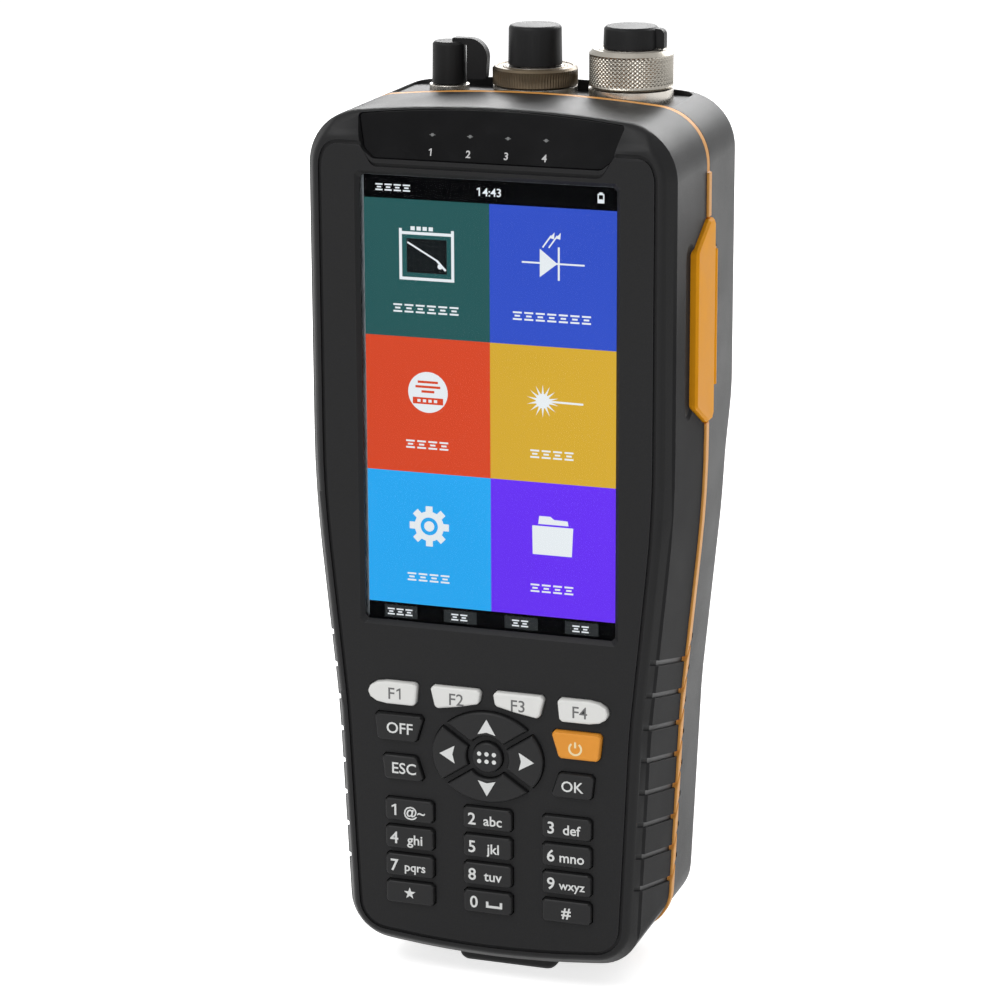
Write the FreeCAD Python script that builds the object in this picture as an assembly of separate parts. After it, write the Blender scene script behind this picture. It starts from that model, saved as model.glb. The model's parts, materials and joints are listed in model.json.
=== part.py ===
import FreeCAD, Part
import os
from math import asin, atan, cos, radians, sin, tan

# Handheld optical time domain reflectometer, in millimetres.
# X runs to the viewer's right, Y from the front face to the back, Z up along the body.
# The model is drawn with the front face at y = 0 and the floor under the foot at z = 0, and
# every piece is moved along Y as it is written, so that the origin is under the middle.

V = FreeCAD.Vector

# ---------------------------------------------------------------- driving dimensions
# Heights named h... or ending in _H are above one level near the bottom end; depths are behind the face.

BODY_HALF_WIDTH = 39.0        # upper part of the body, around the display
GRIP_HALF_WIDTH = 34.4        # where the taper ends, at the function keys
HEEL_HALF_WIDTH = 32.0        # at the bottom corners
BODY_HEIGHT = 182.9
BODY_DEPTH = 52.0             # upper part, around the optics
GRIP_DEPTH = 47.5             # lower part, held in the hand
FOOT_DROP = 4.0               # how far the foot stands out of the bottom end
SEAM_DEPTH = 26.0             # parting plane of the two shells
WALL = 2.4
BACK_CORNER = 6.0             # rounding of the edges round the back
BEVEL_WIDTH = 2.1             # bevel round the face, seen from the front
BEVEL_DEPTH = 3.3             # the same bevel, seen from the side
TOP_CORNER = 11.5
HEEL_CORNER = 9.5
SIDE_SWEEP = 250.0            # radius where the straight sides turn into the taper
TAPER_TOP = 101.4
TAPER_END = 55.4
TOP_ARCH = 282.0              # radius of the slightly domed top
TOP_ARCH_REACH = 28.0
BOTTOM_ARCH = 200.0
BOTTOM_LIFT = 1.3             # middle of the arch, above the level that heights are taken from
BOTTOM_ARCH_REACH = 21.8
SHOULDER_START = BODY_HEIGHT - 6.5              # the face leans back from here up
SHOULDER_LEAN = 37.0          # degrees from the face
SHOULDER_SOFT = 6.0           # radius of the soft bend at its start
SHOULDER_ROUND = 2.0          # rounding between the shoulder and the top
STEP_TOP = 117.5              # the back steps in between these heights
STEP_END = 105.5
STEP_SWEEP = 24.0

GROOVE_INSET = 3.1            # decorative groove round the face, from the widest outline
GROOVE_WIDTH = 0.8
GROOVE_DEPTH = 0.6

SEAL_WIDTH = 2.2              # rubber bead in the seam
SEAL_PROUD = 0.5
SEAL_SEAT = 1.2               # how deep the bead sits in the shells
SEAL_FLUSH = BODY_HEIGHT - TOP_CORNER - 3.0       # from here up the bead is flush with the shells

SLIP = 0.1                    # gap beside a piece that is only dropped in
SWING = 0.3                   # gap beside a piece that swings or lifts

# display
LCD_WIDTH = 53.86
LCD_HEIGHT = 95.04
LCD_CENTRE = BODY_HEIGHT - 61.8
LCD_BORDER_X = 3.0
LCD_BORDER_Z = 3.5
LCD_THICK = 3.0
VIEW_MARGIN = 0.3             # the opening is this much larger than the picture
VIEW_HIDDEN = 1.3             # but its lower edge covers this much of the picture
VIEW_BEVEL = 0.9
VIEW_CORNER = 0.8
VIEW_EDGE = 0.3               # plain edge below the bevel
PANE_THICK = 0.9
PANE_BORDER = 2.0

# indicator lens on the shoulder
LENS_TOP_HALF = 28.1
LENS_KNEE_HALF = 26.4
LENS_BOTTOM_HALF = 24.0
LENS_DROP = 0.7               # its domed top edge stays this far under the body's top
LENS_KNEE = BODY_HEIGHT - 8.7
LENS_BOTTOM = BODY_HEIGHT - 10.6
LENS_THICK = 1.0
LENS_FRONT = 0.6              # depth of its lower edge
LENS_LEAN = 20.4              # degrees from the face
LENS_CORNER = 1.0
LENS_ARCH = 240.0
LENS_BED = 1.4                # thickness of the seat behind the lens
LENS_SEAT = 1.6
LED_BOARD_HALF = 15.0
LED_BOARD_HEIGHT = 3.4
LED_BOARD_THICK = 0.8
LED_COUNT = 4
LED_PITCH = 8.0
LED_HEIGHT = BODY_HEIGHT - 5.7
LED_HALF = 1.0

# keys
KEY_PROUD = 1.2
KEY_GAP = 0.2                 # between a key and its hole
KEY_TRAVEL = 0.8
KEY_EDGE = 0.35
FLANGE_LIP = 0.3              # how far the flange reaches under the shell
FLANGE_THICK = 0.7
PLUNGER_HALF = 1.1            # square plunger behind every key
PLUNGER_LENGTH = 0.65
PLUNGER_GAP = 0.3             # left between plunger and pad when a key is down
PAD_HALF = 1.5                # contact pads on the mat
PAD_HEIGHT = 0.3
MAT_THICK = 0.8
FLANGE_GAP = 0.25             # between the flange and the shell behind it
BOARD_THICK = 1.2
FKEY_CENTRE = 59.5
FKEY_HEIGHT = 5.0
FKEY_NEAR = (1.25, 12.6)      # the two middle keys: near and far edge from the centre line
FKEY_FAR = (15.3, 26.4)       # the two outer keys
FKEY_SLANT = 0.5
FKEY_NOSE = 4.2               # length of the rounded end of an outer key
NAV_CENTRE = 47.4
NAV_HALF_X = 12.2
NAV_HALF_Z = 9.9
NAV_HOLE = 4.7
NAV_BUTTON = 3.3
NAV_SPLIT = 34.0              # angle of the gaps between the arrow keys, from the horizontal
NAV_GAP = 1.4
SIDE_TOP_KEY = (25.0, 54.9, 49.0)       # outer edge, top and bottom
SIDE_LOW_KEY = (23.4, 45.8, 40.4)
SIDE_KEY_NEAR = 13.9
SIDE_KEY_SLANT = 1.8
SIDE_KEY_TAPER = 0.6
DIGIT_WIDTH = 10.8
DIGIT_HEIGHT = 4.9
DIGIT_PITCH_X = 17.4
DIGIT_PITCH_Z = 6.2
DIGIT_TOP_ROW = 33.7
KEY_CORNER = 0.6              # corners are cut back by this much
MAT_INSET = 5.4
MAT_LOW = 11.6
MAT_HIGH = 65.6
MAT_POST = 1.3
MAT_POSTS = ((28.0, 63.6), (25.0, 14.6))

# grip grooves on both flanks
GRIP_COUNT = 8
GRIP_PITCH = 7.1
GRIP_SEAM = 64.6              # height of the first groove at the seam
GRIP_RISE = 6.3               # it climbs this much towards the face
GRIP_START = 1.2              # how far behind the face it begins, in the bevel
GRIP_STEP = 3.3               # it jumps up this much across the bead
GRIP_BACK_REACH = 3.6         # and ends this far behind the seam
GRIP_BACK_RISE = 0.6
GRIP_WIDTH = 1.2
GRIP_CUT = 0.6

# optical ports on the top end
PORT_DEPTH = 36.2             # their row, behind the face
VFL_X = -20.2
OPM_X = -1.3
OTDR_X = 19.5
PANEL_HALF = 30.5
PANEL_FRONT = SEAM_DEPTH + 1.3
PANEL_BACK = 46.0
PANEL_H = BODY_HEIGHT - 2.3   # upper face
PANEL_THICK = 2.4
PANEL_LEDGE = 1.4
PANEL_WALL = 1.6
PANEL_CORNER = 3.0
FERRULE_RADIUS = 1.25
FERRULE_DEPTH = 12.0
FLANGE_H = BODY_HEIGHT        # top of the plain flanges at the foot of the ports
SHANK_RADIUS = 4.5
SHANK_H = BODY_HEIGHT - 10.9  # lower end of the ports, on the optical modules
NECK_RADIUS = 6.0
NOSE_RADIUS = 4.0
RING_FIT = 0.05               # radial running gap of the knurled rings
RING_LIFT = 0.2               # gap under a ring or a cap
CAP_GRIP = 0.15               # gap between a rubber cap and the nose inside it
CAP_TAPER = 0.15
CAP_ROOF = 1.2
CAP_EDGE = 0.5
VFL_FLANGE = 4.2
VFL_FLANGE_H = BODY_HEIGHT - 0.5
VFL_SHANK = 3.5
VFL_NOSE = 2.6
VFL_NOSE_H = BODY_HEIGHT + 7.1
VFL_CAP = 3.65
OPM_FLANGE = 8.8
OPM_RING = 8.9
OPM_RING_H = BODY_HEIGHT + 4.1
OPM_NOSE_H = BODY_HEIGHT + 11.3
OPM_CAP = 5.65
OTDR_FLANGE = 8.8
OTDR_FLANGE_H = BODY_HEIGHT + 0.4
OTDR_NUT = 8.75
OTDR_NUT_H = BODY_HEIGHT + 8.5
OTDR_NOSE_H = BODY_HEIGHT + 11.8
OTDR_CAP = 5.8
RING_CHAMFER = 0.5
NUT_CHAMFER = 0.9
KEYWAY_WIDTH = 2.1
KEYWAY_DEEP = 2.6

# pull tabs of two caps
TAB_THICK = 2.2
TAB_GAP = 0.5
VFL_TAB = 4.8
VFL_TAB_OVER = 0.8
OTDR_TAB = 1.5

# modules inside
OPTIC_BOX = (6.0, 28.4, 28.4, 44.0, 120.0)      # x, x, depth, depth, lower height
VFL_LASER = 5.0
VFL_LASER_LOW = BODY_HEIGHT - 42.9
OPM_SENSOR = 6.5
OPM_SENSOR_LOW = BODY_HEIGHT - 26.9
MAIN_BOARD_DEPTH = 12.0
MAIN_BOARD_INSET = 3.6
MAIN_BOARD_LOW = 70.5
MAIN_BOARD_HIGH = BODY_HEIGHT - 3.9
BOARD_POST = 1.6
BOARD_POST_X = BODY_HALF_WIDTH - 5.8
BOARD_POSTS = ((BOARD_POST_X, 112.0), (BOARD_POST_X, 150.0))

# side ports and their cover
COVER_LOW = 116.4
COVER_HIGH = 158.9
COVER_FRONT = SEAM_DEPTH - 10.6
COVER_BACK = SEAM_DEPTH + 2.7
COVER_TIP = 5.0               # length of each pointed end
COVER_TIP_WIDTH = 3.0
COVER_PROUD = 1.1
COVER_THICK = 2.2
COVER_EDGE = 0.5
HINGE_BEAD = 0.9
HINGE_SET_BACK = 1.2          # hinge axis behind the back edge of the cover
HINGE_WEB = 1.2
HINGE_TRIM = 7.0              # hinge bead ends this far inside the cover's tips
SCOOP_RADIUS = 5.0            # finger scoop in front of the cover
SCOOP_DEEP = 1.0
SCOOP_DEPTH = COVER_FRONT - 2.4
SCOOP_LOW = 120.0
SCOOP_HIGH = 155.5
IO_BOARD_DEPTH = SEAM_DEPTH - 1.6
IO_BOARD_IN = BODY_HALF_WIDTH - 17.2
IO_BOARD_OUT = BODY_HALF_WIDTH - 3.4
IO_BOARD = (IO_BOARD_IN, IO_BOARD_OUT, 118.6, 156.0)     # x, x, height, height
IO_POST_X = IO_BOARD_IN + 1.8
IO_POSTS = ((IO_POST_X, 120.6), (IO_POST_X, 154.1))
SOCKET_MOUTH = 0.2            # the sockets' mouths stay this far inside the recess floor
USB_H = 145.4
USB_SIZE = (13.2, 5.8)
USB_WALL = 0.5
USB_TONGUE = (10.6, 1.7)
MICRO_H = 133.4
MICRO_SIZE = (7.6, 3.0)
JACK_H = 124.4
JACK_SIZE = (8.8, 8.8)
JACK_BORE = 3.0
JACK_PIN = 1.0
JACK_DEEP = 9.0
USB_DEEP = 13.6
MICRO_DEEP = 5.6
SOCKET_GAP = 0.2

# battery and its door
CELL_RADIUS = 9.3
CELL_LENGTH = 67.0
CELL_COUNT = 2
BATTERY_LOW = 25.0
BAY_GAP = 0.4
BAY_WALL = 1.8
BAY_FLOOR = 1.6
DOOR_HALF = 23.0
DOOR_LOW = 17.0
DOOR_HIGH = 101.0
DOOR_THICK = 2.0
DOOR_CORNER = 5.0
DOOR_LEDGE = 2.2
DOOR_RIBS = 5
DOOR_RIB_PITCH = 3.0
DOOR_RIB_HALF = 12.0
DOOR_RIB_DEEP = 0.5
DOOR_SCREW_INSET = 3.7
DOOR_BOSS = 2.9

# screws
HEEL_SCREW = (HEEL_HALF_WIDTH - 6.5, 8.0)       # from the centre line, above the bottom end
WAIST_SCREW = (BODY_HALF_WIDTH - 5.8, 93.0)
TOP_SCREW = (BODY_HALF_WIDTH - 6.0, BODY_HEIGHT - 14.9)
CASE_SCREWS = (HEEL_SCREW, WAIST_SCREW, TOP_SCREW)
BOSS_RADIUS = 2.8              # over the corners of its eight sides
BOSS_HEAD = 4.2
BOSS_HEAD_LENGTH = 5.0
HEAD_RADIUS = 2.5
HEAD_THICK = 1.6
HEAD_SUNK = 2.4
SHANK = 1.3
PILOT = 1.4
PILOT_DEPTH = 11.0
SCREW_REACH = 10.0

FOOT_HALF = 11.0
FOOT_FRONT = 11.0
FOOT_BACK = 41.0
FOOT_CORNER = 2.4
FOOT_EDGE = 1.0
FOOT_SET = 0.8                # how far it is set into the bottom end

# ---------------------------------------------------------------- derived placing
FLOOR = FOOT_DROP                                     # z of the body's bottom end
SHIFT_Y = KEY_PROUD - (BODY_DEPTH + KEY_PROUD) / 2    # moves the face to its final y
OVER = 40.0                                           # tools reach this far past the body


def level(above_bottom):
    return FLOOR + above_bottom


# ---------------------------------------------------------------- drawing helpers
def corner_arc(before, corner, after, radius):
    """Start, middle and end of the arc that rounds one corner of a polygon."""
    to_before = (before - corner).normalize()
    to_after = (after - corner).normalize()
    half = to_before.getAngle(to_after) / 2
    run = radius / tan(half)
    bulge = radius / sin(half) - radius
    middle = (to_before + to_after).normalize()
    return corner + to_before * run, corner + middle * bulge, corner + to_after * run


def rounded_wire(points, radii, chords=False):
    """Closed wire in the plane y = 0: straight sides joined by tangent arcs or cut corners."""
    spots = [V(x, 0, z) for x, z in points]
    arcs = []
    for i, spot in enumerate(spots):
        after = spots[(i + 1) % len(spots)]
        if radii[i] > 0:
            arcs.append(corner_arc(spots[i - 1], spot, after, radii[i]))
        else:
            arcs.append((spot, None, spot))
    edges = []
    for i, (start, middle, end) in enumerate(arcs):
        last = arcs[i - 1][2]
        if last.distanceToPoint(start) > 1e-6:
            edges.append(Part.makeLine(last, start))
        if middle is not None and chords:
            edges.append(Part.makeLine(start, end))
        elif middle is not None:
            edges.append(Part.Arc(start, middle, end).toShape())
    return Part.Wire(edges)


def rectangle(x0, x1, z0, z1, corner):
    return rounded_wire([(x0, z0), (x1, z0), (x1, z1), (x0, z1)], [corner] * 4)


def grown(wire, by):
    return wire.makeOffset2D(by) if by else wire


def grown_sharp(wire, by):
    """Offset outline whose corners stay sharp."""
    return wire.makeOffset2D(by, 2)


def at_depth(wire, y):
    moved = wire.copy()
    moved.translate(V(0, y, 0))
    return moved


def prism(wire, y0, y1):
    """Solid with the given front outline between two depths."""
    return Part.Face(at_depth(wire, y0)).extrude(V(0, y1 - y0, 0))


def box(x0, x1, y0, y1, z0, z1):
    return Part.makeBox(x1 - x0, y1 - y0, z1 - z0, V(x0, y0, z0))


def rod_y(radius, x, z, y0, y1):
    return Part.makeCylinder(radius, y1 - y0, V(x, y0, z), V(0, 1, 0))


def rod_z(radius, x, y, z0, z1):
    return Part.makeCylinder(radius, z1 - z0, V(x, y, z0), V(0, 0, 1))


def post_y(radius, x, z, y0, y1):
    """Eight-sided boss."""
    corners = []
    for i in range(9):
        turn = radians(22.5 + 45 * i)
        corners.append(V(x + radius * cos(turn), y0, z + radius * sin(turn)))
    return Part.Face(Part.makePolygon(corners)).extrude(V(0, y1 - y0, 0))


def turned(profile, x, y):
    """Solid of revolution about a vertical axis; profile is a list of (radius, z)."""
    points = [V(x + r, y, z) for r, z in profile]
    face = Part.Face(Part.makePolygon(points + [points[0]]))
    return face.revolve(V(x, y, 0), V(0, 0, 1), 360)


def mirrored(shape):
    return shape.mirror(V(0, 0, 0), V(1, 0, 0))


def both_sides(shape):
    return [shape, mirrored(shape)]


def joined(shapes):
    whole = shapes[0]
    for shape in shapes[1:]:
        whole = whole.fuse(shape)
    return whole.removeSplitter()


def normal_at(face, point):
    u, v = face.Surface.parameter(point)
    return face.normalAt(u, v)


def edges_between(shape, first, second):
    """Edges between a face whose normal passes one test and a face that passes the other."""
    chosen = []
    for edge in shape.Edges:
        faces = shape.ancestorsOfType(edge, Part.Face)
        if len(faces) != 2:
            continue
        point = edge.valueAt((edge.FirstParameter + edge.LastParameter) / 2)
        normals = [normal_at(face, point) for face in faces]
        if first(normals[0], point) and second(normals[1], point):
            chosen.append(edge)
        elif first(normals[1], point) and second(normals[0], point):
            chosen.append(edge)
    return chosen


# ---------------------------------------------------------------- body form
def body_outline():
    """Outline from the front: domed top, straight sides, taper to the grip, arched bottom."""
    top_slope = asin(TOP_ARCH_REACH / TOP_ARCH)
    heel_slope = asin(BOTTOM_ARCH_REACH / BOTTOM_ARCH)
    top_apex = BODY_HEIGHT + TOP_ARCH * (1 / cos(top_slope) - 1)
    low_apex = BOTTOM_LIFT - BOTTOM_ARCH * (1 / cos(heel_slope) - 1)
    rise = TAPER_TOP - TAPER_END
    taper = atan((BODY_HALF_WIDTH - GRIP_HALF_WIDTH) / rise)
    sweep = min(SIDE_SWEEP, 0.45 * rise / tan(taper / 2))
    right = [
        (HEEL_HALF_WIDTH, level(low_apex + HEEL_HALF_WIDTH * tan(heel_slope))),
        (GRIP_HALF_WIDTH, level(TAPER_END)),
        (BODY_HALF_WIDTH, level(TAPER_TOP)),
        (BODY_HALF_WIDTH, level(top_apex - BODY_HALF_WIDTH * tan(top_slope))),
    ]
    radii = [HEEL_CORNER, sweep, sweep, TOP_CORNER]
    left = [(-x, z) for x, z in reversed(right)]
    points = [(0, level(low_apex))] + right + [(0, level(top_apex))] + left
    return rounded_wire(points, [BOTTOM_ARCH] + radii + [TOP_ARCH] + radii[::-1])


OUTLINE = body_outline()


def side_profile(inset):
    """Outline from the side, turned into the YZ plane: leaning shoulder and stepped back."""
    lean = radians(SHOULDER_LEAN)
    knee = level(SHOULDER_START) - inset * tan(lean / 2)
    top = level(BODY_HEIGHT) + OVER
    back = BODY_DEPTH - inset
    grip = GRIP_DEPTH - inset
    points = [
        (inset, FLOOR - OVER),
        (inset, knee),
        (inset + (top - knee) * tan(lean), top),
        (back, top),
        (back, level(STEP_TOP)),
        (grip, level(STEP_END)),
        (grip, FLOOR - OVER),
    ]
    radii = [0, SHOULDER_SOFT - inset, 0, 0, STEP_SWEEP, STEP_SWEEP, 0]
    wire = rounded_wire(points, radii)
    wire.rotate(V(0, 0, 0), V(0, 0, 1), 90)
    return wire


def body_form(inset, back_corner, shoulder_round):
    """The closed form of the body, shrunk on all sides by inset; the hollow is bevelled inside."""
    outline = grown(OUTLINE, -inset)
    mouth = grown(outline, -BEVEL_WIDTH)
    bevel = Part.makeLoft([at_depth(mouth, inset), at_depth(outline, inset + BEVEL_DEPTH)], True, True)
    trunk = prism(outline, inset + BEVEL_DEPTH, BODY_DEPTH + OVER)
    profile = Part.Face(side_profile(inset))
    profile.translate(V(-2 * BODY_HALF_WIDTH, 0, 0))
    slab = profile.extrude(V(4 * BODY_HALF_WIDTH, 0, 0))
    form = bevel.fuse(trunk).common(slab).removeSplitter().Solids[0]

    def is_side(normal, point):
        return abs(normal.y) < 0.05

    def is_back(normal, point):
        return normal.y > 0.5 and abs(normal.x) < 1e-6

    rim = edges_between(form, is_side, is_back)
    form = form.makeChamfer(WALL, rim) if inset else form.makeFillet(back_corner, rim)
    lean_z = sin(radians(SHOULDER_LEAN))

    def is_shoulder(normal, point):
        return abs(normal.x) < 1e-6 and abs(normal.z - lean_z) < 0.02 and normal.y < 0

    def is_above(normal, point):
        return not is_shoulder(normal, point) and point.z > level(SHOULDER_START) and normal.z > 0.5

    edges = edges_between(form, is_shoulder, is_above) if shoulder_round else []
    return (form.makeFillet(shoulder_round, edges) if edges else form).Solids[0]


def half_space_front(y):
    """Everything in front of a depth."""
    return box(-2 * BODY_HALF_WIDTH, 2 * BODY_HALF_WIDTH, -OVER, y, -OVER, level(BODY_HEIGHT) + OVER)


OUTER = body_form(0, BACK_CORNER, SHOULDER_ROUND)
CAVITY = body_form(WALL, BACK_CORNER - WALL, 0)
PIECES = {}


# ---------------------------------------------------------------- outlines of the keys
def slanted_key(near, far, z0, z1, near_slant, far_taper):
    """Key beside the arrow pad: slanted near edge, slightly tapered far edge."""
    return [(near + near_slant, z0), (far - far_taper, z0), (far, z1), (near, z1)]


def digit_key(column, row):
    x = (column - 1) * DIGIT_PITCH_X
    z = level(DIGIT_TOP_ROW - row * DIGIT_PITCH_Z)
    half_x = DIGIT_WIDTH / 2
    half_z = DIGIT_HEIGHT / 2
    return [(x - half_x, z - half_z), (x + half_x, z - half_z), (x + half_x, z + half_z), (x - half_x, z + half_z)]


def middle_fkey():
    """Inner function key; the corner over the arrow pad is cut away."""
    near, far = FKEY_NEAR
    z0 = level(FKEY_CENTRE - FKEY_HEIGHT / 2)
    z1 = z0 + FKEY_HEIGHT
    bend = near + (far - near) * 0.42
    return [(near + FKEY_SLANT, z0 + 1.9), (bend, z0 + 0.9), (far - 1.2, z0), (far, z1), (near, z1)]


def outer_fkey():
    """Outer function key, with a rounded nose towards the flank."""
    near, far = FKEY_FAR
    z0 = level(FKEY_CENTRE - FKEY_HEIGHT / 2)
    z1 = z0 + FKEY_HEIGHT
    centre = (z0 + z1) / 2
    nose = []
    for turn in (-90, -58, -30, 0, 30, 58, 90):
        along = far - FKEY_NOSE + FKEY_NOSE * cos(radians(turn))
        nose.append((along, centre + FKEY_HEIGHT / 2 * sin(radians(turn))))
    return [(near + FKEY_SLANT, z0)] + nose + [(near, z1)]


def cut_corners(points):
    """A cut for each sharp corner of a key, none where its outline is already round."""
    cuts = []
    for i, (x, z) in enumerate(points):
        before = V(x - points[i - 1][0], 0, z - points[i - 1][1])
        after = V(points[(i + 1) % len(points)][0] - x, 0, points[(i + 1) % len(points)][1] - z)
        cuts.append(KEY_CORNER if before.getAngle(after) > radians(40) else 0)
    return cuts


def flipped(points):
    return [(-x, z) for x, z in reversed(points)]


def oval_wire(half_x, half_z):
    """Four tangent arcs round the middle of the arrow pad; growing both halves keeps them parallel."""
    end_radius = half_z - (NAV_HALF_X - NAV_HALF_Z) * 0.7
    spread = half_x - end_radius
    slack = half_z - end_radius
    shift = (spread ** 2 - slack ** 2) / (2 * slack)
    side_radius = half_z + shift
    reach = side_radius / (side_radius - end_radius)
    tangent = V(spread * reach, 0, shift * reach - shift)
    ends = [V(half_x, 0, 0), V(0, 0, half_z), V(-half_x, 0, 0), V(0, 0, -half_z)]
    signs = [(1, 1), (-1, 1), (-1, -1), (1, -1)]
    corners = [V(tangent.x * sx, 0, tangent.z * sz) for sx, sz in signs]
    centre = V(0, 0, level(NAV_CENTRE))
    edges = []
    for i in range(4):
        before = corners[i - 1] + centre
        after = corners[i] + centre
        edges.append(Part.Arc(before, ends[i] + centre, after).toShape())
    return Part.Wire(edges)


def arrow_key_wires(margin):
    """The oval ring cut into four by two slanting gaps: up, left, down and right."""
    centre = V(0, 0, level(NAV_CENTRE))
    hole = Part.Face(Part.Wire(Part.makeCircle(NAV_HOLE - margin, centre, V(0, 1, 0))))
    ring = Part.Face(oval_wire(NAV_HALF_X + margin, NAV_HALF_Z + margin)).cut(hole)
    half_gap = NAV_GAP / 2 - margin
    for turn in (NAV_SPLIT, -NAV_SPLIT):
        gap = box(-OVER, OVER, -1, 1, -half_gap, half_gap)
        gap.rotate(V(0, 0, 0), V(0, -1, 0), turn)
        gap.translate(centre)
        ring = ring.cut(gap)
    faces = sorted(ring.Faces, key=lambda face: face.CenterOfMass.z)
    down, up = faces[0], faces[-1]
    left, right = sorted(faces[1:-1], key=lambda face: face.CenterOfMass.x)
    sectors = {"key_up": up, "key_down": down, "key_left": left, "key_right": right}
    return {name: face.OuterWire for name, face in sectors.items()}


def polygon_keys():
    """Outlines of all keys with straight sides."""
    shapes = {"key_f3": middle_fkey(), "key_f4": outer_fkey()}
    far, z1, z0 = SIDE_TOP_KEY
    shapes["key_power"] = slanted_key(SIDE_KEY_NEAR, far, level(z0), level(z1), SIDE_KEY_SLANT, SIDE_KEY_TAPER)
    far, z1, z0 = SIDE_LOW_KEY
    near = SIDE_KEY_NEAR + SIDE_KEY_SLANT
    shapes["key_ok"] = slanted_key(near, far, level(z0), level(z1), -SIDE_KEY_SLANT, SIDE_KEY_TAPER)
    for left, right in (("key_f2", "key_f3"), ("key_f1", "key_f4"), ("key_off", "key_power"), ("key_esc", "key_ok")):
        shapes[left] = flipped(shapes[right])
    rows = (("1", "2", "3"), ("4", "5", "6"), ("7", "8", "9"), ("star", "0", "hash"))
    for row, names in enumerate(rows):
        for column, name in enumerate(names):
            shapes["key_" + name] = digit_key(column, row)
    return shapes


def key_wires():
    """For every key its own outline, its hole in the shell and its flange behind the shell."""
    lip = KEY_GAP + FLANGE_LIP
    wires = {}
    for name, points in polygon_keys().items():
        cap = rounded_wire(points, cut_corners(points), True)
        plain = rounded_wire(points, [0] * len(points))
        wires[name] = (cap, grown_sharp(cap, KEY_GAP), grown_sharp(plain, lip))
    arrows = [arrow_key_wires(margin) for margin in (0, KEY_GAP, lip)]
    for name in arrows[0]:
        wires[name] = tuple(group[name] for group in arrows)
    centre = V(0, 0, level(NAV_CENTRE))
    rounds = [Part.makeCircle(NAV_BUTTON + margin, centre, V(0, 1, 0)) for margin in (0, KEY_GAP, lip)]
    wires["key_menu"] = tuple(Part.Wire(circle) for circle in rounds)
    return wires


KEYS = key_wires()
FLANGE_FRONT = WALL + FLANGE_GAP
FLANGE_BACK = FLANGE_FRONT + FLANGE_THICK
PLUNGER_END = FLANGE_BACK + PLUNGER_LENGTH
PAD_FRONT = PLUNGER_END + KEY_TRAVEL + PLUNGER_GAP
MAT_FRONT = PAD_FRONT + PAD_HEIGHT
MAT_BACK = MAT_FRONT + MAT_THICK
BOARD_BACK = MAT_BACK + BOARD_THICK


def plunger_block(name, half, y0, y1):
    """Square post behind the middle of a key."""
    spot = Part.Face(KEYS[name][0]).CenterOfMass
    return box(spot.x - half, spot.x + half, y0, y1, spot.z - half, spot.z + half)


def key_solid(name):
    """Chamfered cap, flange behind the shell and plunger towards the mat."""
    outline, hole, rim = KEYS[name]
    cap = prism(outline, -KEY_PROUD, FLANGE_BACK)
    front = [edge for edge in cap.Edges if edge.BoundBox.YMax < -KEY_PROUD + 1e-6]
    cap = cap.makeChamfer(KEY_EDGE, front)
    flange = prism(rim, FLANGE_FRONT, FLANGE_BACK)
    return joined([cap, flange, plunger_block(name, PLUNGER_HALF, FLANGE_FRONT, PLUNGER_END)])


# ---------------------------------------------------------------- cuts shared by several pieces
def side_prism(points, radii, x0, x1):
    """Solid from an outline drawn as (depth, z) on the right flank."""
    wire = rounded_wire(points, radii)
    wire.rotate(V(0, 0, 0), V(0, 0, 1), 90)
    wire.translate(V(x0, 0, 0))
    return Part.Face(wire).extrude(V(x1 - x0, 0, 0))


def cover_outline(gap):
    """Side cover seen from the flank: long plate with a pointed tip at each end of the seam."""
    tip = COVER_TIP_WIDTH / 2
    low = level(COVER_LOW) - gap
    high = level(COVER_HIGH) + gap
    front = COVER_FRONT - gap
    back = COVER_BACK + gap
    back_step = back - SEAM_DEPTH - tip
    points = [
        (front, low + COVER_TIP),
        (SEAM_DEPTH - tip, low),
        (SEAM_DEPTH + tip, low),
        (back, low + back_step),
        (back, high - back_step),
        (SEAM_DEPTH + tip, high),
        (SEAM_DEPTH - tip, high),
        (front, high - COVER_TIP),
    ]
    return points, [1.5, 0.8, 0.6, 0.6, 0.6, 0.6, 0.8, 1.5]


COVER_OUT = BODY_HALF_WIDTH + COVER_PROUD
COVER_IN = COVER_OUT - COVER_THICK
RECESS_FLOOR = COVER_IN - SWING
HINGE_X = COVER_OUT - HINGE_BEAD
HINGE_Y = COVER_BACK + HINGE_SET_BACK
HINGE_LOW = level(COVER_LOW) + HINGE_TRIM
HINGE_HIGH = level(COVER_HIGH) - HINGE_TRIM
ANCHOR_IN = RECESS_FLOOR - 0.2
ANCHOR_BACK = HINGE_Y + 3.0


def cover_recess():
    """Room for the side cover, its hinge bead and the strip that holds the bead."""
    points, radii = cover_outline(SWING)
    plate = side_prism(points, radii, RECESS_FLOOR, BODY_HALF_WIDTH + OVER)
    z0, z1 = HINGE_LOW - SWING, HINGE_HIGH + SWING
    web = box(RECESS_FLOOR, BODY_HALF_WIDTH + OVER, COVER_BACK, HINGE_Y, z0, z1)
    strip = box(ANCHOR_IN, BODY_HALF_WIDTH + OVER, HINGE_Y, ANCHOR_BACK, z0, z1)
    return joined([plate, web, strip])


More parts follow.
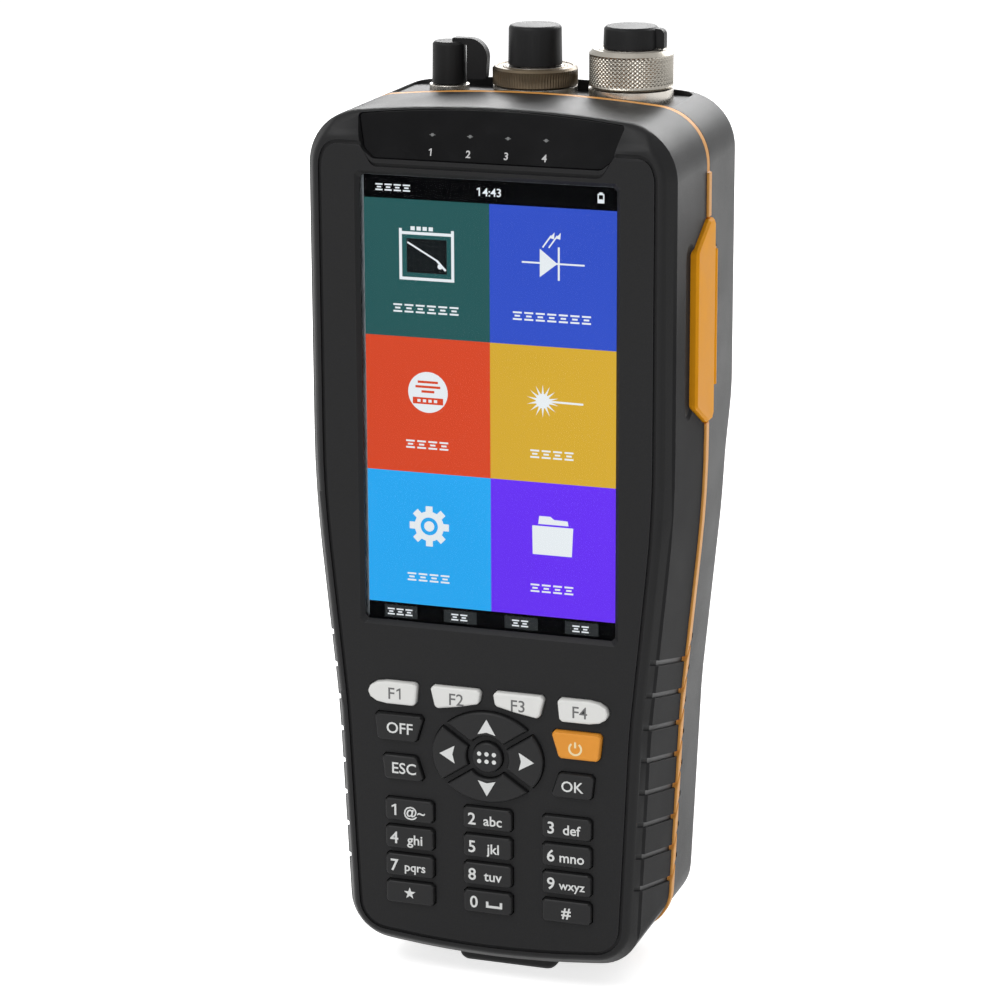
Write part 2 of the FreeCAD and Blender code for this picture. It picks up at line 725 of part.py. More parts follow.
def grip_grooves():
    """Kinked grooves across both flanks, following the curved surface."""
    strips = []
    half = GRIP_WIDTH / 2
    before = SEAM_DEPTH - SEAL_WIDTH / 2
    behind = SEAM_DEPTH + SEAL_WIDTH / 2
    back = SEAM_DEPTH + GRIP_BACK_REACH
    for i in range(GRIP_COUNT):
        z = level(GRIP_SEAM - i * GRIP_PITCH)
        jumped = z + GRIP_STEP
        line = [(GRIP_START, z + GRIP_RISE), (before, z), (behind, jumped), (back, jumped + GRIP_BACK_RISE)]
        upper = [(y, z + half) for y, z in line]
        lower = [(y, z - half) for y, z in reversed(line)]
        strips.append(side_prism(upper + lower, [0] * 8, GRIP_HALF_WIDTH - 8, GRIP_HALF_WIDTH + 8))
    return Part.makeCompound(strips)


def skin(shift):
    """Thin layer of the body's surface on the side that the shift points away from."""
    moved = OUTER.copy()
    moved.translate(shift)
    return OUTER.cut(moved)


def face_groove():
    """Shallow line round the face; at the top it runs in under the indicator lens."""
    def region(inset):
        body = prism(grown(OUTLINE, -inset), -1, 12)
        slack = inset - GROOVE_INSET
        high = level(LENS_KNEE + 1.6) - slack
        low = level(LENS_BOTTOM - 0.9) - slack
        knee = LENS_KNEE_HALF + 0.6 - slack * 0.4
        foot = LENS_BOTTOM_HALF + 0.6 - slack * 0.4
        points = [(-OVER, -OVER), (OVER, -OVER), (OVER, high), (knee, high), (foot, low)]
        points += [(-foot, low), (-knee, high), (-OVER, high)]
        mask = prism(rounded_wire(points, [0, 0, 0, 1.2, 2.0, 2.0, 1.2, 0]), -1, 12)
        area = body.common(mask).removeSplitter()
        corners = []
        for edge in area.Edges:
            box_ = edge.BoundBox
            upright = box_.XLength < 1e-6 and box_.ZLength < 1e-6
            if upright and abs(box_.XMin) > LENS_KNEE_HALF + 4 and box_.ZMin > level(SHOULDER_START) - 12:
                corners.append(edge)
        return area.makeFillet(4.0 - slack, corners) if corners else area
    ring = region(GROOVE_INSET).cut(region(GROOVE_INSET + GROOVE_WIDTH))
    return ring.common(skin(V(0, GROOVE_DEPTH, 0)))


# ---------------------------------------------------------------- display and indicator lens
VIEW_X = LCD_WIDTH / 2 + VIEW_MARGIN
VIEW_LOW = level(LCD_CENTRE - LCD_HEIGHT / 2 + VIEW_HIDDEN)
VIEW_HIGH = level(LCD_CENTRE + LCD_HEIGHT / 2 + VIEW_MARGIN)
PANE_FRONT = VIEW_BEVEL + VIEW_EDGE


def view_outline(margin):
    points = [(-VIEW_X - margin, VIEW_LOW - margin), (VIEW_X + margin, VIEW_LOW - margin)]
    points += [(VIEW_X + margin, VIEW_HIGH + margin), (-VIEW_X - margin, VIEW_HIGH + margin)]
    return rounded_wire(points, [VIEW_CORNER] * 4, True)


def lcd_outline(margin):
    x = LCD_WIDTH / 2 + LCD_BORDER_X + margin
    z = LCD_HEIGHT / 2 + LCD_BORDER_Z + margin
    middle = level(LCD_CENTRE)
    return rectangle(-x, x, middle - z, middle + z, 1.0)


def view_cut():
    """Bevelled opening over the picture with a pocket for the pane behind it."""
    wide = at_depth(view_outline(VIEW_BEVEL), -0.01)
    bevel = Part.makeLoft([wide, at_depth(view_outline(0), VIEW_BEVEL)], True, True)
    throat = prism(view_outline(0), VIEW_BEVEL - 0.01, WALL + 1)
    pocket = prism(view_outline(PANE_BORDER + SLIP), PANE_FRONT, WALL + 1)
    return joined([bevel, throat, pocket])


def lens_outline(margin):
    """Indicator lens from the front: domed top, sides pulling in, cut lower corners."""
    slope = asin(TOP_ARCH_REACH / TOP_ARCH)
    apex = BODY_HEIGHT - LENS_DROP + TOP_ARCH * (1 / cos(slope) - 1)
    shoulder = apex - LENS_TOP_HALF * tan(slope)
    right = [
        (LENS_BOTTOM_HALF, level(LENS_BOTTOM)),
        (LENS_KNEE_HALF, level(LENS_KNEE)),
        (LENS_TOP_HALF, level(shoulder)),
    ]
    left = [(-x, z) for x, z in reversed(right)]
    wire = rounded_wire(right + [(0, level(apex))] + left, [1.5, 2.5, 0.6, LENS_ARCH, 0.6, 2.5, 1.5])
    return grown(wire, margin)


def leaning_slab(front, back):
    """Slab parallel to the lens; front and back are measured from the lens's front face."""
    slab = box(-OVER, OVER, front, back, -OVER, OVER)
    slab.rotate(V(0, 0, 0), V(1, 0, 0), -LENS_LEAN)
    slab.translate(V(0, LENS_FRONT, level(LENS_BOTTOM)))
    return slab


def led_spots():
    first = -(LED_COUNT - 1) / 2 * LED_PITCH
    return [first + i * LED_PITCH for i in range(LED_COUNT)]


def light_guides(half, front, back):
    """One short square light guide behind the lens for every indicator."""
    rods = []
    drop = level(LED_HEIGHT) - level(LENS_BOTTOM)
    for x in led_spots():
        middle = drop / cos(radians(LENS_LEAN))
        rod = box(x - half, x + half, front, back, middle - half, middle + half)
        rods.append(rod)
    group = Part.makeCompound(rods)
    group.rotate(V(0, 0, 0), V(1, 0, 0), -LENS_LEAN)
    group.translate(V(0, LENS_FRONT, level(LENS_BOTTOM)))
    return group


def led_strip():
    """Small circuit strip that carries the indicator lamps."""
    middle = (level(LED_HEIGHT) - level(LENS_BOTTOM)) / cos(radians(LENS_LEAN))
    y0 = LENS_THICK + LENS_BED
    half = LED_BOARD_HEIGHT / 2
    strip = box(-LED_BOARD_HALF, LED_BOARD_HALF, y0, y0 + LED_BOARD_THICK, middle - half, middle + half)
    strip.rotate(V(0, 0, 0), V(1, 0, 0), -LENS_LEAN)
    strip.translate(V(0, LENS_FRONT, level(LENS_BOTTOM)))
    return joined([strip] + light_guides(LED_HALF, LENS_THICK, y0 + 0.2).Solids)


# ---------------------------------------------------------------- screws and bosses
def back_depth(z):
    return GRIP_DEPTH if z < level(STEP_END) else BODY_DEPTH


def boss_spots():
    spots = []
    for x, above in CASE_SCREWS:
        spots += [(x, level(above)), (-x, level(above))]
    return spots


def screw(x, z, face, tip):
    """Plain blank of a screw from the back; face is the depth of the surface round it."""
    head_back = face - HEAD_SUNK
    head = post_y(HEAD_RADIUS, x, z, head_back - HEAD_THICK, head_back)
    return joined([head, post_y(SHANK, x, z, tip, head_back - HEAD_THICK + 0.1)])


def screw_hole(x, z, face, tip):
    """Counterbore and clearance hole for the same screw."""
    seat = face - HEAD_SUNK - HEAD_THICK
    wide = rod_y(HEAD_RADIUS + SLIP, x, z, seat, face + 5)
    return joined([wide, post_y(SHANK + SLIP, x, z, tip, seat + 0.1)])


# ---------------------------------------------------------------- front shell
def front_shell():
    """Face, flanks and shoulder in front of the seam, hollow, with everything cut into it."""
    front = half_space_front(SEAM_DEPTH)
    shell = OUTER.cut(CAVITY).common(front)
    bed = prism(lens_outline(LENS_SEAT), -1, 14).common(leaning_slab(-1, LENS_THICK + LENS_BED)).common(OUTER)
    bed = bed.cut(prism(lcd_outline(SLIP), WALL, 14))
    rim = prism(lcd_outline(SLIP + 1.2), WALL - 0.5, WALL + LCD_THICK + 0.6)
    rim = rim.cut(prism(lcd_outline(SLIP), WALL - 1, WALL + LCD_THICK + 1))
    extras = [bed, rim]
    for x, z in boss_spots():
        extras.append(post_y(BOSS_RADIUS, x, z, WALL - 0.5, SEAM_DEPTH).common(OUTER))
    for x, above in MAT_POSTS:
        extras += both_sides(post_y(MAT_POST, x, level(above), WALL - 0.5, MAT_BACK))
    for x, above in BOARD_POSTS:
        extras += both_sides(post_y(BOARD_POST, x, level(above), WALL - 0.5, MAIN_BOARD_DEPTH))
    shell = joined([shell] + extras)
    cuts = [view_cut(), face_groove(), cover_recess()]
    cuts.append(prism(lens_outline(SLIP), -2, 14).common(leaning_slab(-20, LENS_THICK)))
    cuts.append(light_guides(LED_HALF + SLIP, LENS_THICK - 0.5, LENS_THICK + LENS_BED + 0.5))
    for outline, hole, rim in KEYS.values():
        cuts.append(prism(hole, -1, WALL + 1))
    cuts.append(seal_ring(SLIP))
    cuts.append(foot_block(SLIP))
    cuts += both_sides(GRIPS)
    cuts.append(finger_scoop())
    for x, z in boss_spots():
        cuts.append(post_y(PILOT, x, z, SEAM_DEPTH - PILOT_DEPTH, SEAM_DEPTH + 1))
    for solid in socket_windows():
        cuts.append(solid)
    for cut in cuts:
        shell = shell.cut(cut)
    return shell


def finger_scoop():
    """Shallow scoop in the flank, just in front of the side cover."""
    x = BODY_HALF_WIDTH + SCOOP_RADIUS - SCOOP_DEEP
    low = level(SCOOP_LOW) + SCOOP_RADIUS / 2
    high = level(SCOOP_HIGH) - SCOOP_RADIUS / 2
    scoop = rod_z(SCOOP_RADIUS, x, SCOOP_DEPTH, low, high)
    ends = [Part.makeSphere(SCOOP_RADIUS, V(x, SCOOP_DEPTH, z)) for z in (low, high)]
    return joined([scoop] + ends)


def foot_block(gap):
    """Room for the foot in the bottom end."""
    foot = box(-FOOT_HALF - gap, FOOT_HALF + gap, FOOT_FRONT - gap, FOOT_BACK + gap, 0, level(BOTTOM_LIFT + FOOT_SET))
    upright = [edge for edge in foot.Edges if edge.BoundBox.ZLength > 1]
    return foot.makeFillet(FOOT_CORNER, upright)


def seal_ring(slack):
    """Rubber bead in the seam; slack widens it to make its own seat."""
    y0 = SEAM_DEPTH - SEAL_WIDTH / 2
    y1 = SEAM_DEPTH + SEAL_WIDTH / 2
    ring = prism(grown(OUTLINE, SEAL_PROUD), y0, y1)
    return ring.cut(prism(grown(OUTLINE, -SEAL_SEAT - slack), y0 - 1, y1 + 1))


def seal_crest():
    """What the bead would stand proud over the top end; it lies flush there."""
    y0 = SEAM_DEPTH - SEAL_WIDTH
    y1 = SEAM_DEPTH + SEAL_WIDTH
    over = level(BODY_HEIGHT) + OVER
    crest = box(-2 * BODY_HALF_WIDTH, 2 * BODY_HALF_WIDTH, y0, y1, level(SEAL_FLUSH), over)
    return crest.cut(prism(OUTLINE, y0 - 1, y1 + 1))


# ---------------------------------------------------------------- side sockets
SOCKET_OUT = RECESS_FLOOR - SOCKET_MOUTH
SOCKET_SIZES = ((USB_H, USB_SIZE, USB_DEEP), (MICRO_H, MICRO_SIZE, MICRO_DEEP), (JACK_H, JACK_SIZE, JACK_DEEP + 2))


def socket_block(above, size, depth, slack):
    """Block of a socket against the circuit board, its mouth towards the flank."""
    tall, thick = size
    z = level(above)
    y1 = IO_BOARD_DEPTH
    return box(SOCKET_OUT - depth - slack, SOCKET_OUT, y1 - thick - slack, y1 + slack,
               z - tall / 2 - slack, z + tall / 2 + slack)


def socket_windows():
    windows = []
    for above, size, depth in SOCKET_SIZES:
        block = socket_block(above, size, depth, SOCKET_GAP)
        windows.append(box(BODY_HALF_WIDTH - WALL - 1, RECESS_FLOOR + 0.1, block.BoundBox.YMin,
                           block.BoundBox.YMax, block.BoundBox.ZMin, block.BoundBox.ZMax))
    return windows


def usb_socket():
    """Folded metal shell with its tongue."""
    shell = socket_block(USB_H, USB_SIZE, USB_DEEP, 0)
    tall, thick = USB_SIZE
    y1 = IO_BOARD_DEPTH
    z = level(USB_H)
    hole = box(SOCKET_OUT - USB_DEEP + USB_WALL + 1.5, SOCKET_OUT + 1, y1 - thick + USB_WALL,
               y1 - USB_WALL, z - tall / 2 + USB_WALL, z + tall / 2 - USB_WALL)
    wide, flat = USB_TONGUE
    tongue = box(SOCKET_OUT - USB_DEEP + 1, SOCKET_OUT - 1.0, y1 - USB_WALL - 1.0 - flat,
                 y1 - USB_WALL - 1.0, z - wide / 2, z + wide / 2)
    return shell.cut(hole).fuse(tongue).removeSplitter()


def micro_usb_socket():
    """Small flat socket with chamfered lower corners."""
    shell = socket_block(MICRO_H, MICRO_SIZE, MICRO_DEEP, 0)
    tall, thick = MICRO_SIZE
    y1 = IO_BOARD_DEPTH
    z = level(MICRO_H)
    wall = 0.35
    hole = box(SOCKET_OUT - MICRO_DEEP + 1.2, SOCKET_OUT + 1, y1 - thick + wall, y1 - wall,
               z - tall / 2 + wall, z + tall / 2 - wall)
    tongue = box(SOCKET_OUT - MICRO_DEEP + 1, SOCKET_OUT - 0.8, y1 - thick / 2 - 0.35,
                 y1 - thick / 2 + 0.35, z - 1.9, z + 1.9)
    return shell.cut(hole).fuse(tongue).removeSplitter()


def dc_jack():
    """Power socket: square block, round bore and centre pin."""
    block = socket_block(JACK_H, JACK_SIZE, JACK_DEEP + 2, 0)
    y = IO_BOARD_DEPTH - JACK_SIZE[1] / 2
    z = level(JACK_H)
    bore = Part.makeCylinder(JACK_BORE, JACK_DEEP + 1, V(SOCKET_OUT - JACK_DEEP, y, z), V(1, 0, 0))
    pin = Part.makeCylinder(JACK_PIN, JACK_DEEP, V(SOCKET_OUT - JACK_DEEP - 1, y, z), V(1, 0, 0))
    return block.cut(bore).fuse(pin).removeSplitter()


def io_board():
    """Upright circuit board behind the side sockets, on two spacers."""
    x0, x1, low, high = IO_BOARD
    board = box(x0, x1, IO_BOARD_DEPTH, IO_BOARD_DEPTH + BOARD_THICK, level(low), level(high))
    spacers = []
    for x, above in IO_POSTS:
        spacers.append(post_y(1.5, x, level(above), MAIN_BOARD_DEPTH + BOARD_THICK, IO_BOARD_DEPTH + 0.1))
    return joined([board] + spacers)


# ---------------------------------------------------------------- rear shell
BAY_X = CELL_COUNT * CELL_RADIUS + BAY_GAP
BAY_LOW = level(BATTERY_LOW) - BAY_GAP
BAY_HIGH = level(BATTERY_LOW + CELL_LENGTH) + BAY_GAP
DOOR_IN = GRIP_DEPTH - DOOR_THICK
CELL_DEPTH = DOOR_IN - SWING - BAY_GAP - CELL_RADIUS
BAY_FRONT = CELL_DEPTH - CELL_RADIUS - BAY_GAP


def door_outline(gap):
    return rectangle(-DOOR_HALF - gap, DOOR_HALF + gap, level(DOOR_LOW) - gap, level(DOOR_HIGH) + gap,
                     DOOR_CORNER + gap)


def door_screw_spots():
    x = DOOR_HALF - DOOR_SCREW_INSET
    spots = []
    for z in (level(DOOR_LOW + DOOR_SCREW_INSET), level(DOOR_HIGH - DOOR_SCREW_INSET)):
        spots += [(x, z), (-x, z)]
    return spots


def panel_block(gap, z0, z1):
    """Upright block with the outline of the connector panel, from above."""
    block = box(-PANEL_HALF - gap, PANEL_HALF + gap, PANEL_FRONT - gap, PANEL_BACK + gap, z0, z1)
    upright = [edge for edge in block.Edges if edge.BoundBox.ZLength > (z1 - z0) / 2]
    return block.makeFillet(max(PANEL_CORNER + gap, 0.5), upright)


def rear_shell():
    """Back half with the battery bay, the screw bosses and the recess for the connectors."""
    shell = OUTER.cut(CAVITY).cut(half_space_front(SEAM_DEPTH))
    extras = []
    for x, z in boss_spots():
        face = back_depth(z)
        extras.append(post_y(BOSS_RADIUS, x, z, SEAM_DEPTH, face - 1).common(OUTER))
        extras.append(post_y(BOSS_HEAD, x, z, face - BOSS_HEAD_LENGTH - 1, face - 1).common(OUTER))
    bay = box(-BAY_X - BAY_WALL, BAY_X + BAY_WALL, BAY_FRONT - BAY_FLOOR, GRIP_DEPTH - 1,
              BAY_LOW - BAY_WALL, BAY_HIGH + BAY_WALL)
    extras.append(bay)
    extras.append(prism(door_outline(DOOR_LEDGE), DOOR_IN - SWING - 1.6, GRIP_DEPTH - 1).common(OUTER))
    for x, z in door_screw_spots():
        extras.append(post_y(DOOR_BOSS, x, z, DOOR_IN - 8, DOOR_IN - SWING))
    low = level(PANEL_H) - PANEL_THICK
    block = box(-PANEL_HALF - PANEL_WALL, PANEL_HALF + PANEL_WALL, SEAM_DEPTH, PANEL_BACK + PANEL_WALL,
                low - 1.6, level(BODY_HEIGHT) + 1)
    extras.append(block.common(OUTER))
    shell = joined([shell] + extras)
    cuts = [box(-BAY_X, BAY_X, BAY_FRONT, GRIP_DEPTH + 5, BAY_LOW, BAY_HIGH)]
    cuts.append(prism(door_outline(SWING), DOOR_IN - SWING, GRIP_DEPTH + 5))
    for x, z in door_screw_spots():
        cuts.append(post_y(SHANK + SWING, x, z, DOOR_IN - 7, GRIP_DEPTH))
    for x, z in boss_spots():
        cuts.append(screw_hole(x, z, back_depth(z), SEAM_DEPTH - 1))
    cuts.append(panel_block(SLIP, low, level(BODY_HEIGHT) + 2))
    cuts.append(panel_block(-PANEL_LEDGE, low - 3, low + 1))
    cuts.append(cover_recess())
    cuts.append(seal_ring(SLIP))
    cuts.append(foot_block(SLIP))
    cuts += both_sides(GRIPS)
    for cut in cuts:
        shell = shell.cut(cut)
    return shell


# ---------------------------------------------------------------- optical ports and caps
def bored(shape, x, top):
    """Cuts the narrow bore of the ferrule sleeve into the end of a port."""
    return shape.cut(rod_z(FERRULE_RADIUS, x, PORT_DEPTH, top - FERRULE_DEPTH, top + 1))


def keyway(x, top):
    """Slot for the key of the plug, in the front of the nose."""
    return box(x - KEYWAY_WIDTH / 2, x + KEYWAY_WIDTH / 2, PORT_DEPTH - NOSE_RADIUS - 1,
               PORT_DEPTH - NOSE_RADIUS + 1.3, top - KEYWAY_DEEP, top + 1)


def vfl_port():
    top = level(VFL_NOSE_H)
    base = level(PANEL_H)
    flange = level(VFL_FLANGE_H)
    profile = [(0, level(SHANK_H)), (VFL_SHANK, level(SHANK_H)), (VFL_SHANK, base), (VFL_FLANGE, base)]
    profile += [(VFL_FLANGE, flange), (VFL_NOSE, flange), (VFL_NOSE, top), (0, top)]
    return bored(turned(profile, VFL_X, PORT_DEPTH), VFL_X, top)


def threaded_port(x, flange_radius, flange_h, neck_h, nose_h):
    """Port with a plain flange, the neck for a knurled ring and the slotted nose."""
    top = level(nose_h)
    base = level(PANEL_H)
    profile = [(0, level(SHANK_H)), (SHANK_RADIUS, level(SHANK_H)), (SHANK_RADIUS, base)]
    profile += [(flange_radius, base), (flange_radius, level(flange_h)), (NECK_RADIUS, level(flange_h))]
    profile += [(NECK_RADIUS, level(neck_h)), (NOSE_RADIUS, level(neck_h)), (NOSE_RADIUS, top), (0, top)]
    return bored(turned(profile, x, PORT_DEPTH), x, top).cut(keyway(x, top))


def knurled_ring(x, radius, low, high, chamfer):
    """Ring that turns on the neck of a port; both outer edges are chamfered."""
    bore = NECK_RADIUS + RING_FIT
    profile = [(bore, low), (radius - chamfer / 2, low), (radius, low + chamfer / 2)]
    profile += [(radius, high - chamfer), (radius - chamfer, high), (bore, high)]
    return turned(profile, x, PORT_DEPTH)


def dust_cap(x, radius, nose_radius, low, nose_top):
    """Soft cap over a nose: hollow, slightly tapered, with a soft upper edge."""
    inner = nose_radius + CAP_GRIP
    roof = nose_top + CAP_GRIP
    top = roof + CAP_ROOF
    profile = [(inner, low), (radius, low), (radius - CAP_TAPER, top - CAP_EDGE)]
    profile += [(radius - CAP_TAPER - CAP_EDGE, top), (0, top), (0, roof), (inner, roof)]
    return turned(profile, x, PORT_DEPTH), top


def vfl_cap():
    """Cap with a broad pull tab that folds over and hangs beside it."""
    low = level(VFL_FLANGE_H) + RING_LIFT
    cap, top = dust_cap(VFL_X, VFL_CAP, VFL_NOSE, low, level(VFL_NOSE_H))
    x0 = VFL_X + VFL_CAP + TAB_GAP
    x1 = x0 + VFL_TAB
    z0 = low + 1.0
    z1 = top + VFL_TAB_OVER
    half = TAB_THICK / 2
    points = [(x0, z0), (x1 - 0.6, z0), (x1, z1), (VFL_X + 1.0, z1), (VFL_X + 1.0, top - 0.6), (x0, top - 0.6)]
    tab = prism(rounded_wire(points, [0.6, 0.8, 4.0, 0.3, 0.1, 0.2]), PORT_DEPTH - half, PORT_DEPTH + half)
    return joined([cap, tab])


def otdr_cap():
    """Cap with a small lug at its rim."""
    low = level(OTDR_NUT_H) + RING_LIFT
    cap, top = dust_cap(OTDR_X, OTDR_CAP, NOSE_RADIUS, low, level(OTDR_NOSE_H))
    x0 = OTDR_X + OTDR_CAP - 1.0
    x1 = OTDR_X + OTDR_CAP + OTDR_TAB
    half = TAB_THICK / 2
    points = [(x0, low), (x1, low), (x1, top - 0.3), (x0, top - 0.3)]
    tab = prism(rounded_wire(points, [0, 0.3, 1.3, 0]), PORT_DEPTH - half, PORT_DEPTH + half)
    return joined([cap, tab])


def connector_panel():
    low = level(PANEL_H) - PANEL_THICK
    panel = panel_block(0, low, level(PANEL_H))
    for x, radius in ((VFL_X, VFL_SHANK), (OPM_X, SHANK_RADIUS), (OTDR_X, SHANK_RADIUS)):
        panel = panel.cut(rod_z(radius + SLIP, x, PORT_DEPTH, low - 1, level(PANEL_H) + 1))
    return panel


# ---------------------------------------------------------------- side cover
def side_cover():
    """Rubber cover over the side sockets with a bead along its back edge to hinge on."""
    points, radii = cover_outline(0)
    plate = side_prism(points, radii, COVER_IN, COVER_OUT)
    rim = [edge for edge in plate.Edges if edge.BoundBox.XMin > COVER_OUT - 1e-6]
    plate = plate.makeChamfer(COVER_EDGE, rim)
    bead = rod_z(HINGE_BEAD, HINGE_X, HINGE_Y, HINGE_LOW, HINGE_HIGH)
    web = box(HINGE_X - HINGE_WEB / 2, HINGE_X + HINGE_WEB / 2, COVER_BACK - 0.5, HINGE_Y,
              HINGE_LOW, HINGE_HIGH)
    return joined([plate, bead, web])


def side_cover_anchor():
    """Strip set in the rear shell; its hollow front edge holds the hinge bead."""
    strip = box(ANCHOR_IN, BODY_HALF_WIDTH, HINGE_Y, ANCHOR_BACK, HINGE_LOW, HINGE_HIGH)
    hollow = rod_z(HINGE_BEAD + SWING, HINGE_X, HINGE_Y, HINGE_LOW - 1, HINGE_HIGH + 1)
    return strip.cut(hollow)


# ---------------------------------------------------------------- boards and modules inside
def keypad_area(y0, y1):
    area = prism(grown(OUTLINE, -MAT_INSET), y0, y1)
    return area.common(box(-OVER, OVER, y0 - 1, y1 + 1, level(MAT_LOW), level(MAT_HIGH)))


def keypad_mat():
    """Rubber mat with a raised pad behind every plunger."""
    pads = [plunger_block(name, PAD_HALF, PAD_FRONT, MAT_FRONT + 0.1) for name in KEYS]
    mat = keypad_area(MAT_FRONT, MAT_BACK).multiFuse(pads).removeSplitter()
    holes = []
    for x, above in MAT_POSTS:
        holes += both_sides(post_y(MAT_POST + SLIP, x, level(above), 0, SEAM_DEPTH))
    return mat.cut(holes)


def keypad_board():
    return keypad_area(MAT_BACK, BOARD_BACK)


def lcd_module():
    return prism(lcd_outline(0), WALL, WALL + LCD_THICK)


def main_board():
    """Circuit board behind the display, with a shielded block and a chip on its back."""
    y0 = MAIN_BOARD_DEPTH
    y1 = y0 + BOARD_THICK
    board = prism(grown(OUTLINE, -MAIN_BOARD_INSET), y0, y1)
    board = board.common(box(-OVER, OVER, y0 - 1, y1 + 1, level(MAIN_BOARD_LOW), level(MAIN_BOARD_HIGH)))
    shield = box(-24, -2, y1 - 0.1, y1 + 3, level(112), level(140))
    chip = box(-22, -8, y1 - 0.1, y1 + 1.6, level(84), level(98))
    plug = box(-14, 14, y0 - 3.4, y0 + 0.1, level(73), level(76))
    board = joined([board, shield, chip, plug])
    for x, z in boss_spots():
        board = board.cut(post_y(BOSS_RADIUS + SWING, x, z, 0, SEAM_DEPTH))
    return board


def otdr_module():
    """Optical engine under its port."""
    x0, x1, y0, y1, low = OPTIC_BOX
    body = box(x0, x1, y0, y1, level(low), level(SHANK_H) - 2.5)
    return joined([body, rod_z(SHANK_RADIUS, OTDR_X, PORT_DEPTH, level(SHANK_H) - 3, level(SHANK_H))])


def vfl_module():
    """Laser tube under its port, with a narrower lower end."""
    low = level(VFL_LASER_LOW)
    tube = rod_z(VFL_LASER, VFL_X, PORT_DEPTH, low + 6, level(SHANK_H))
    return joined([tube, rod_z(VFL_LASER - 1.4, VFL_X, PORT_DEPTH, low, low + 6.1)])


def opm_module():
    """Sensor can under its port."""
    can = rod_z(OPM_SENSOR, OPM_X, PORT_DEPTH, level(OPM_SENSOR_LOW), level(SHANK_H))
    return can


def battery_pack():
    """Cells side by side in one sleeve."""
    low = level(BATTERY_LOW)
    high = low + CELL_LENGTH
    reach = (CELL_COUNT - 1) * CELL_RADIUS
    ends = both_sides(rod_z(CELL_RADIUS, reach, CELL_DEPTH, low, high))
    middle = box(-reach, reach, CELL_DEPTH - CELL_RADIUS, CELL_DEPTH + CELL_RADIUS, low, high)
    return joined(ends + [middle])


def battery_contacts():
    """Two spring plates between the pack and the upper wall of the bay."""
    z0 = level(BATTERY_LOW) + CELL_LENGTH
    plates = []
    for x in (-9.3, 9.3):
        plates.append(box(x - 3, x + 3, CELL_DEPTH - 4, CELL_DEPTH + 4, z0, BAY_HIGH))
    return Part.makeCompound(plates)


def battery_door():
    """Flat door with finger ribs and sunk screw holes."""
    door = prism(door_outline(0), DOOR_IN, GRIP_DEPTH)
    rim = [edge for edge in door.Edges if edge.BoundBox.YMin > GRIP_DEPTH - 1e-6]
    door = door.makeChamfer(0.4, rim)
    middle = level(DOOR_HIGH - 12)
    for i in range(DOOR_RIBS):
        z = middle - i * DOOR_RIB_PITCH
        groove = box(-DOOR_RIB_HALF, DOOR_RIB_HALF, GRIP_DEPTH - DOOR_RIB_DEEP, GRIP_DEPTH + 1, z - 0.6, z + 0.6)
        door = door.cut(groove)
    for x, z in door_screw_spots():
        door = door.cut(rod_y(HEAD_RADIUS + SLIP, x, z, GRIP_DEPTH - 1.3, GRIP_DEPTH + 1))
        door = door.cut(post_y(SHANK + SLIP, x, z, DOOR_IN - 1, GRIP_DEPTH))
    return door


def door_screws():
    """Captive screws that travel with the door."""
    screws = []
    for x, z in door_screw_spots():
        seat = GRIP_DEPTH - 1.3
        head = post_y(HEAD_RADIUS, x, z, seat, GRIP_DEPTH - 0.2)
        screws.append(joined([head, post_y(SHANK, x, z, DOOR_IN - 5, seat + 0.1)]))
    return Part.makeCompound(screws)


def bottom_foot():
    """Rubber foot across the bottom end, set a little way into it."""
    foot = foot_block(0)
    under = [edge for edge in foot.Edges if edge.BoundBox.ZMax < 1e-6]
    return foot.makeChamfer(FOOT_EDGE, under)


# ---------------------------------------------------------------- every piece
UNDER_GRIPS = OUTER.copy()
UNDER_GRIPS.translate(V(-GRIP_CUT, 0, 0))
GRIPS = grip_grooves().cut(UNDER_GRIPS)

PIECES["front_shell"] = front_shell()
PIECES["rear_shell"] = rear_shell()
bead = seal_ring(0).cut(cover_recess()).cut(foot_block(SLIP)).cut(seal_crest())
for groove in both_sides(GRIPS):
    bead = bead.cut(groove)
PIECES["seam_seal"] = bead
PIECES["display_window"] = prism(view_outline(PANE_BORDER), PANE_FRONT, PANE_FRONT + PANE_THICK)
PIECES["lcd_module"] = lcd_module()
PIECES["indicator_lens"] = prism(lens_outline(0), -2, 14).common(leaning_slab(0, LENS_THICK))
PIECES["status_leds"] = led_strip()
PIECES["keypad_mat"] = keypad_mat()
PIECES["keypad_board"] = keypad_board()
PIECES["main_board"] = main_board()
PIECES["otdr_module"] = otdr_module()
PIECES["vfl_module"] = vfl_module()
PIECES["opm_module"] = opm_module()
PIECES["connector_panel"] = connector_panel()
PIECES["vfl_port"] = vfl_port()
PIECES["opm_port"] = threaded_port(OPM_X, OPM_FLANGE, FLANGE_H, OPM_RING_H, OPM_NOSE_H)
PIECES["otdr_port"] = threaded_port(OTDR_X, OTDR_FLANGE, OTDR_FLANGE_H, OTDR_NUT_H, OTDR_NOSE_H)
ring_low = level(FLANGE_H) + RING_LIFT
nut_low = level(OTDR_FLANGE_H) + RING_LIFT
PIECES["opm_ring"] = knurled_ring(OPM_X, OPM_RING, ring_low, level(OPM_RING_H), RING_CHAMFER)
PIECES["otdr_nut"] = knurled_ring(OTDR_X, OTDR_NUT, nut_low, level(OTDR_NUT_H), NUT_CHAMFER)
PIECES["vfl_cap"] = vfl_cap()
cap_low = level(OPM_RING_H) + RING_LIFT
PIECES["opm_cap"] = dust_cap(OPM_X, OPM_CAP, NOSE_RADIUS, cap_low, level(OPM_NOSE_H))[0]
PIECES["otdr_cap"] = otdr_cap()
PIECES["io_board"] = io_board()
PIECES["usb_socket"] = usb_socket()
PIECES["micro_usb_socket"] = micro_usb_socket()
PIECES["dc_jack"] = dc_jack()
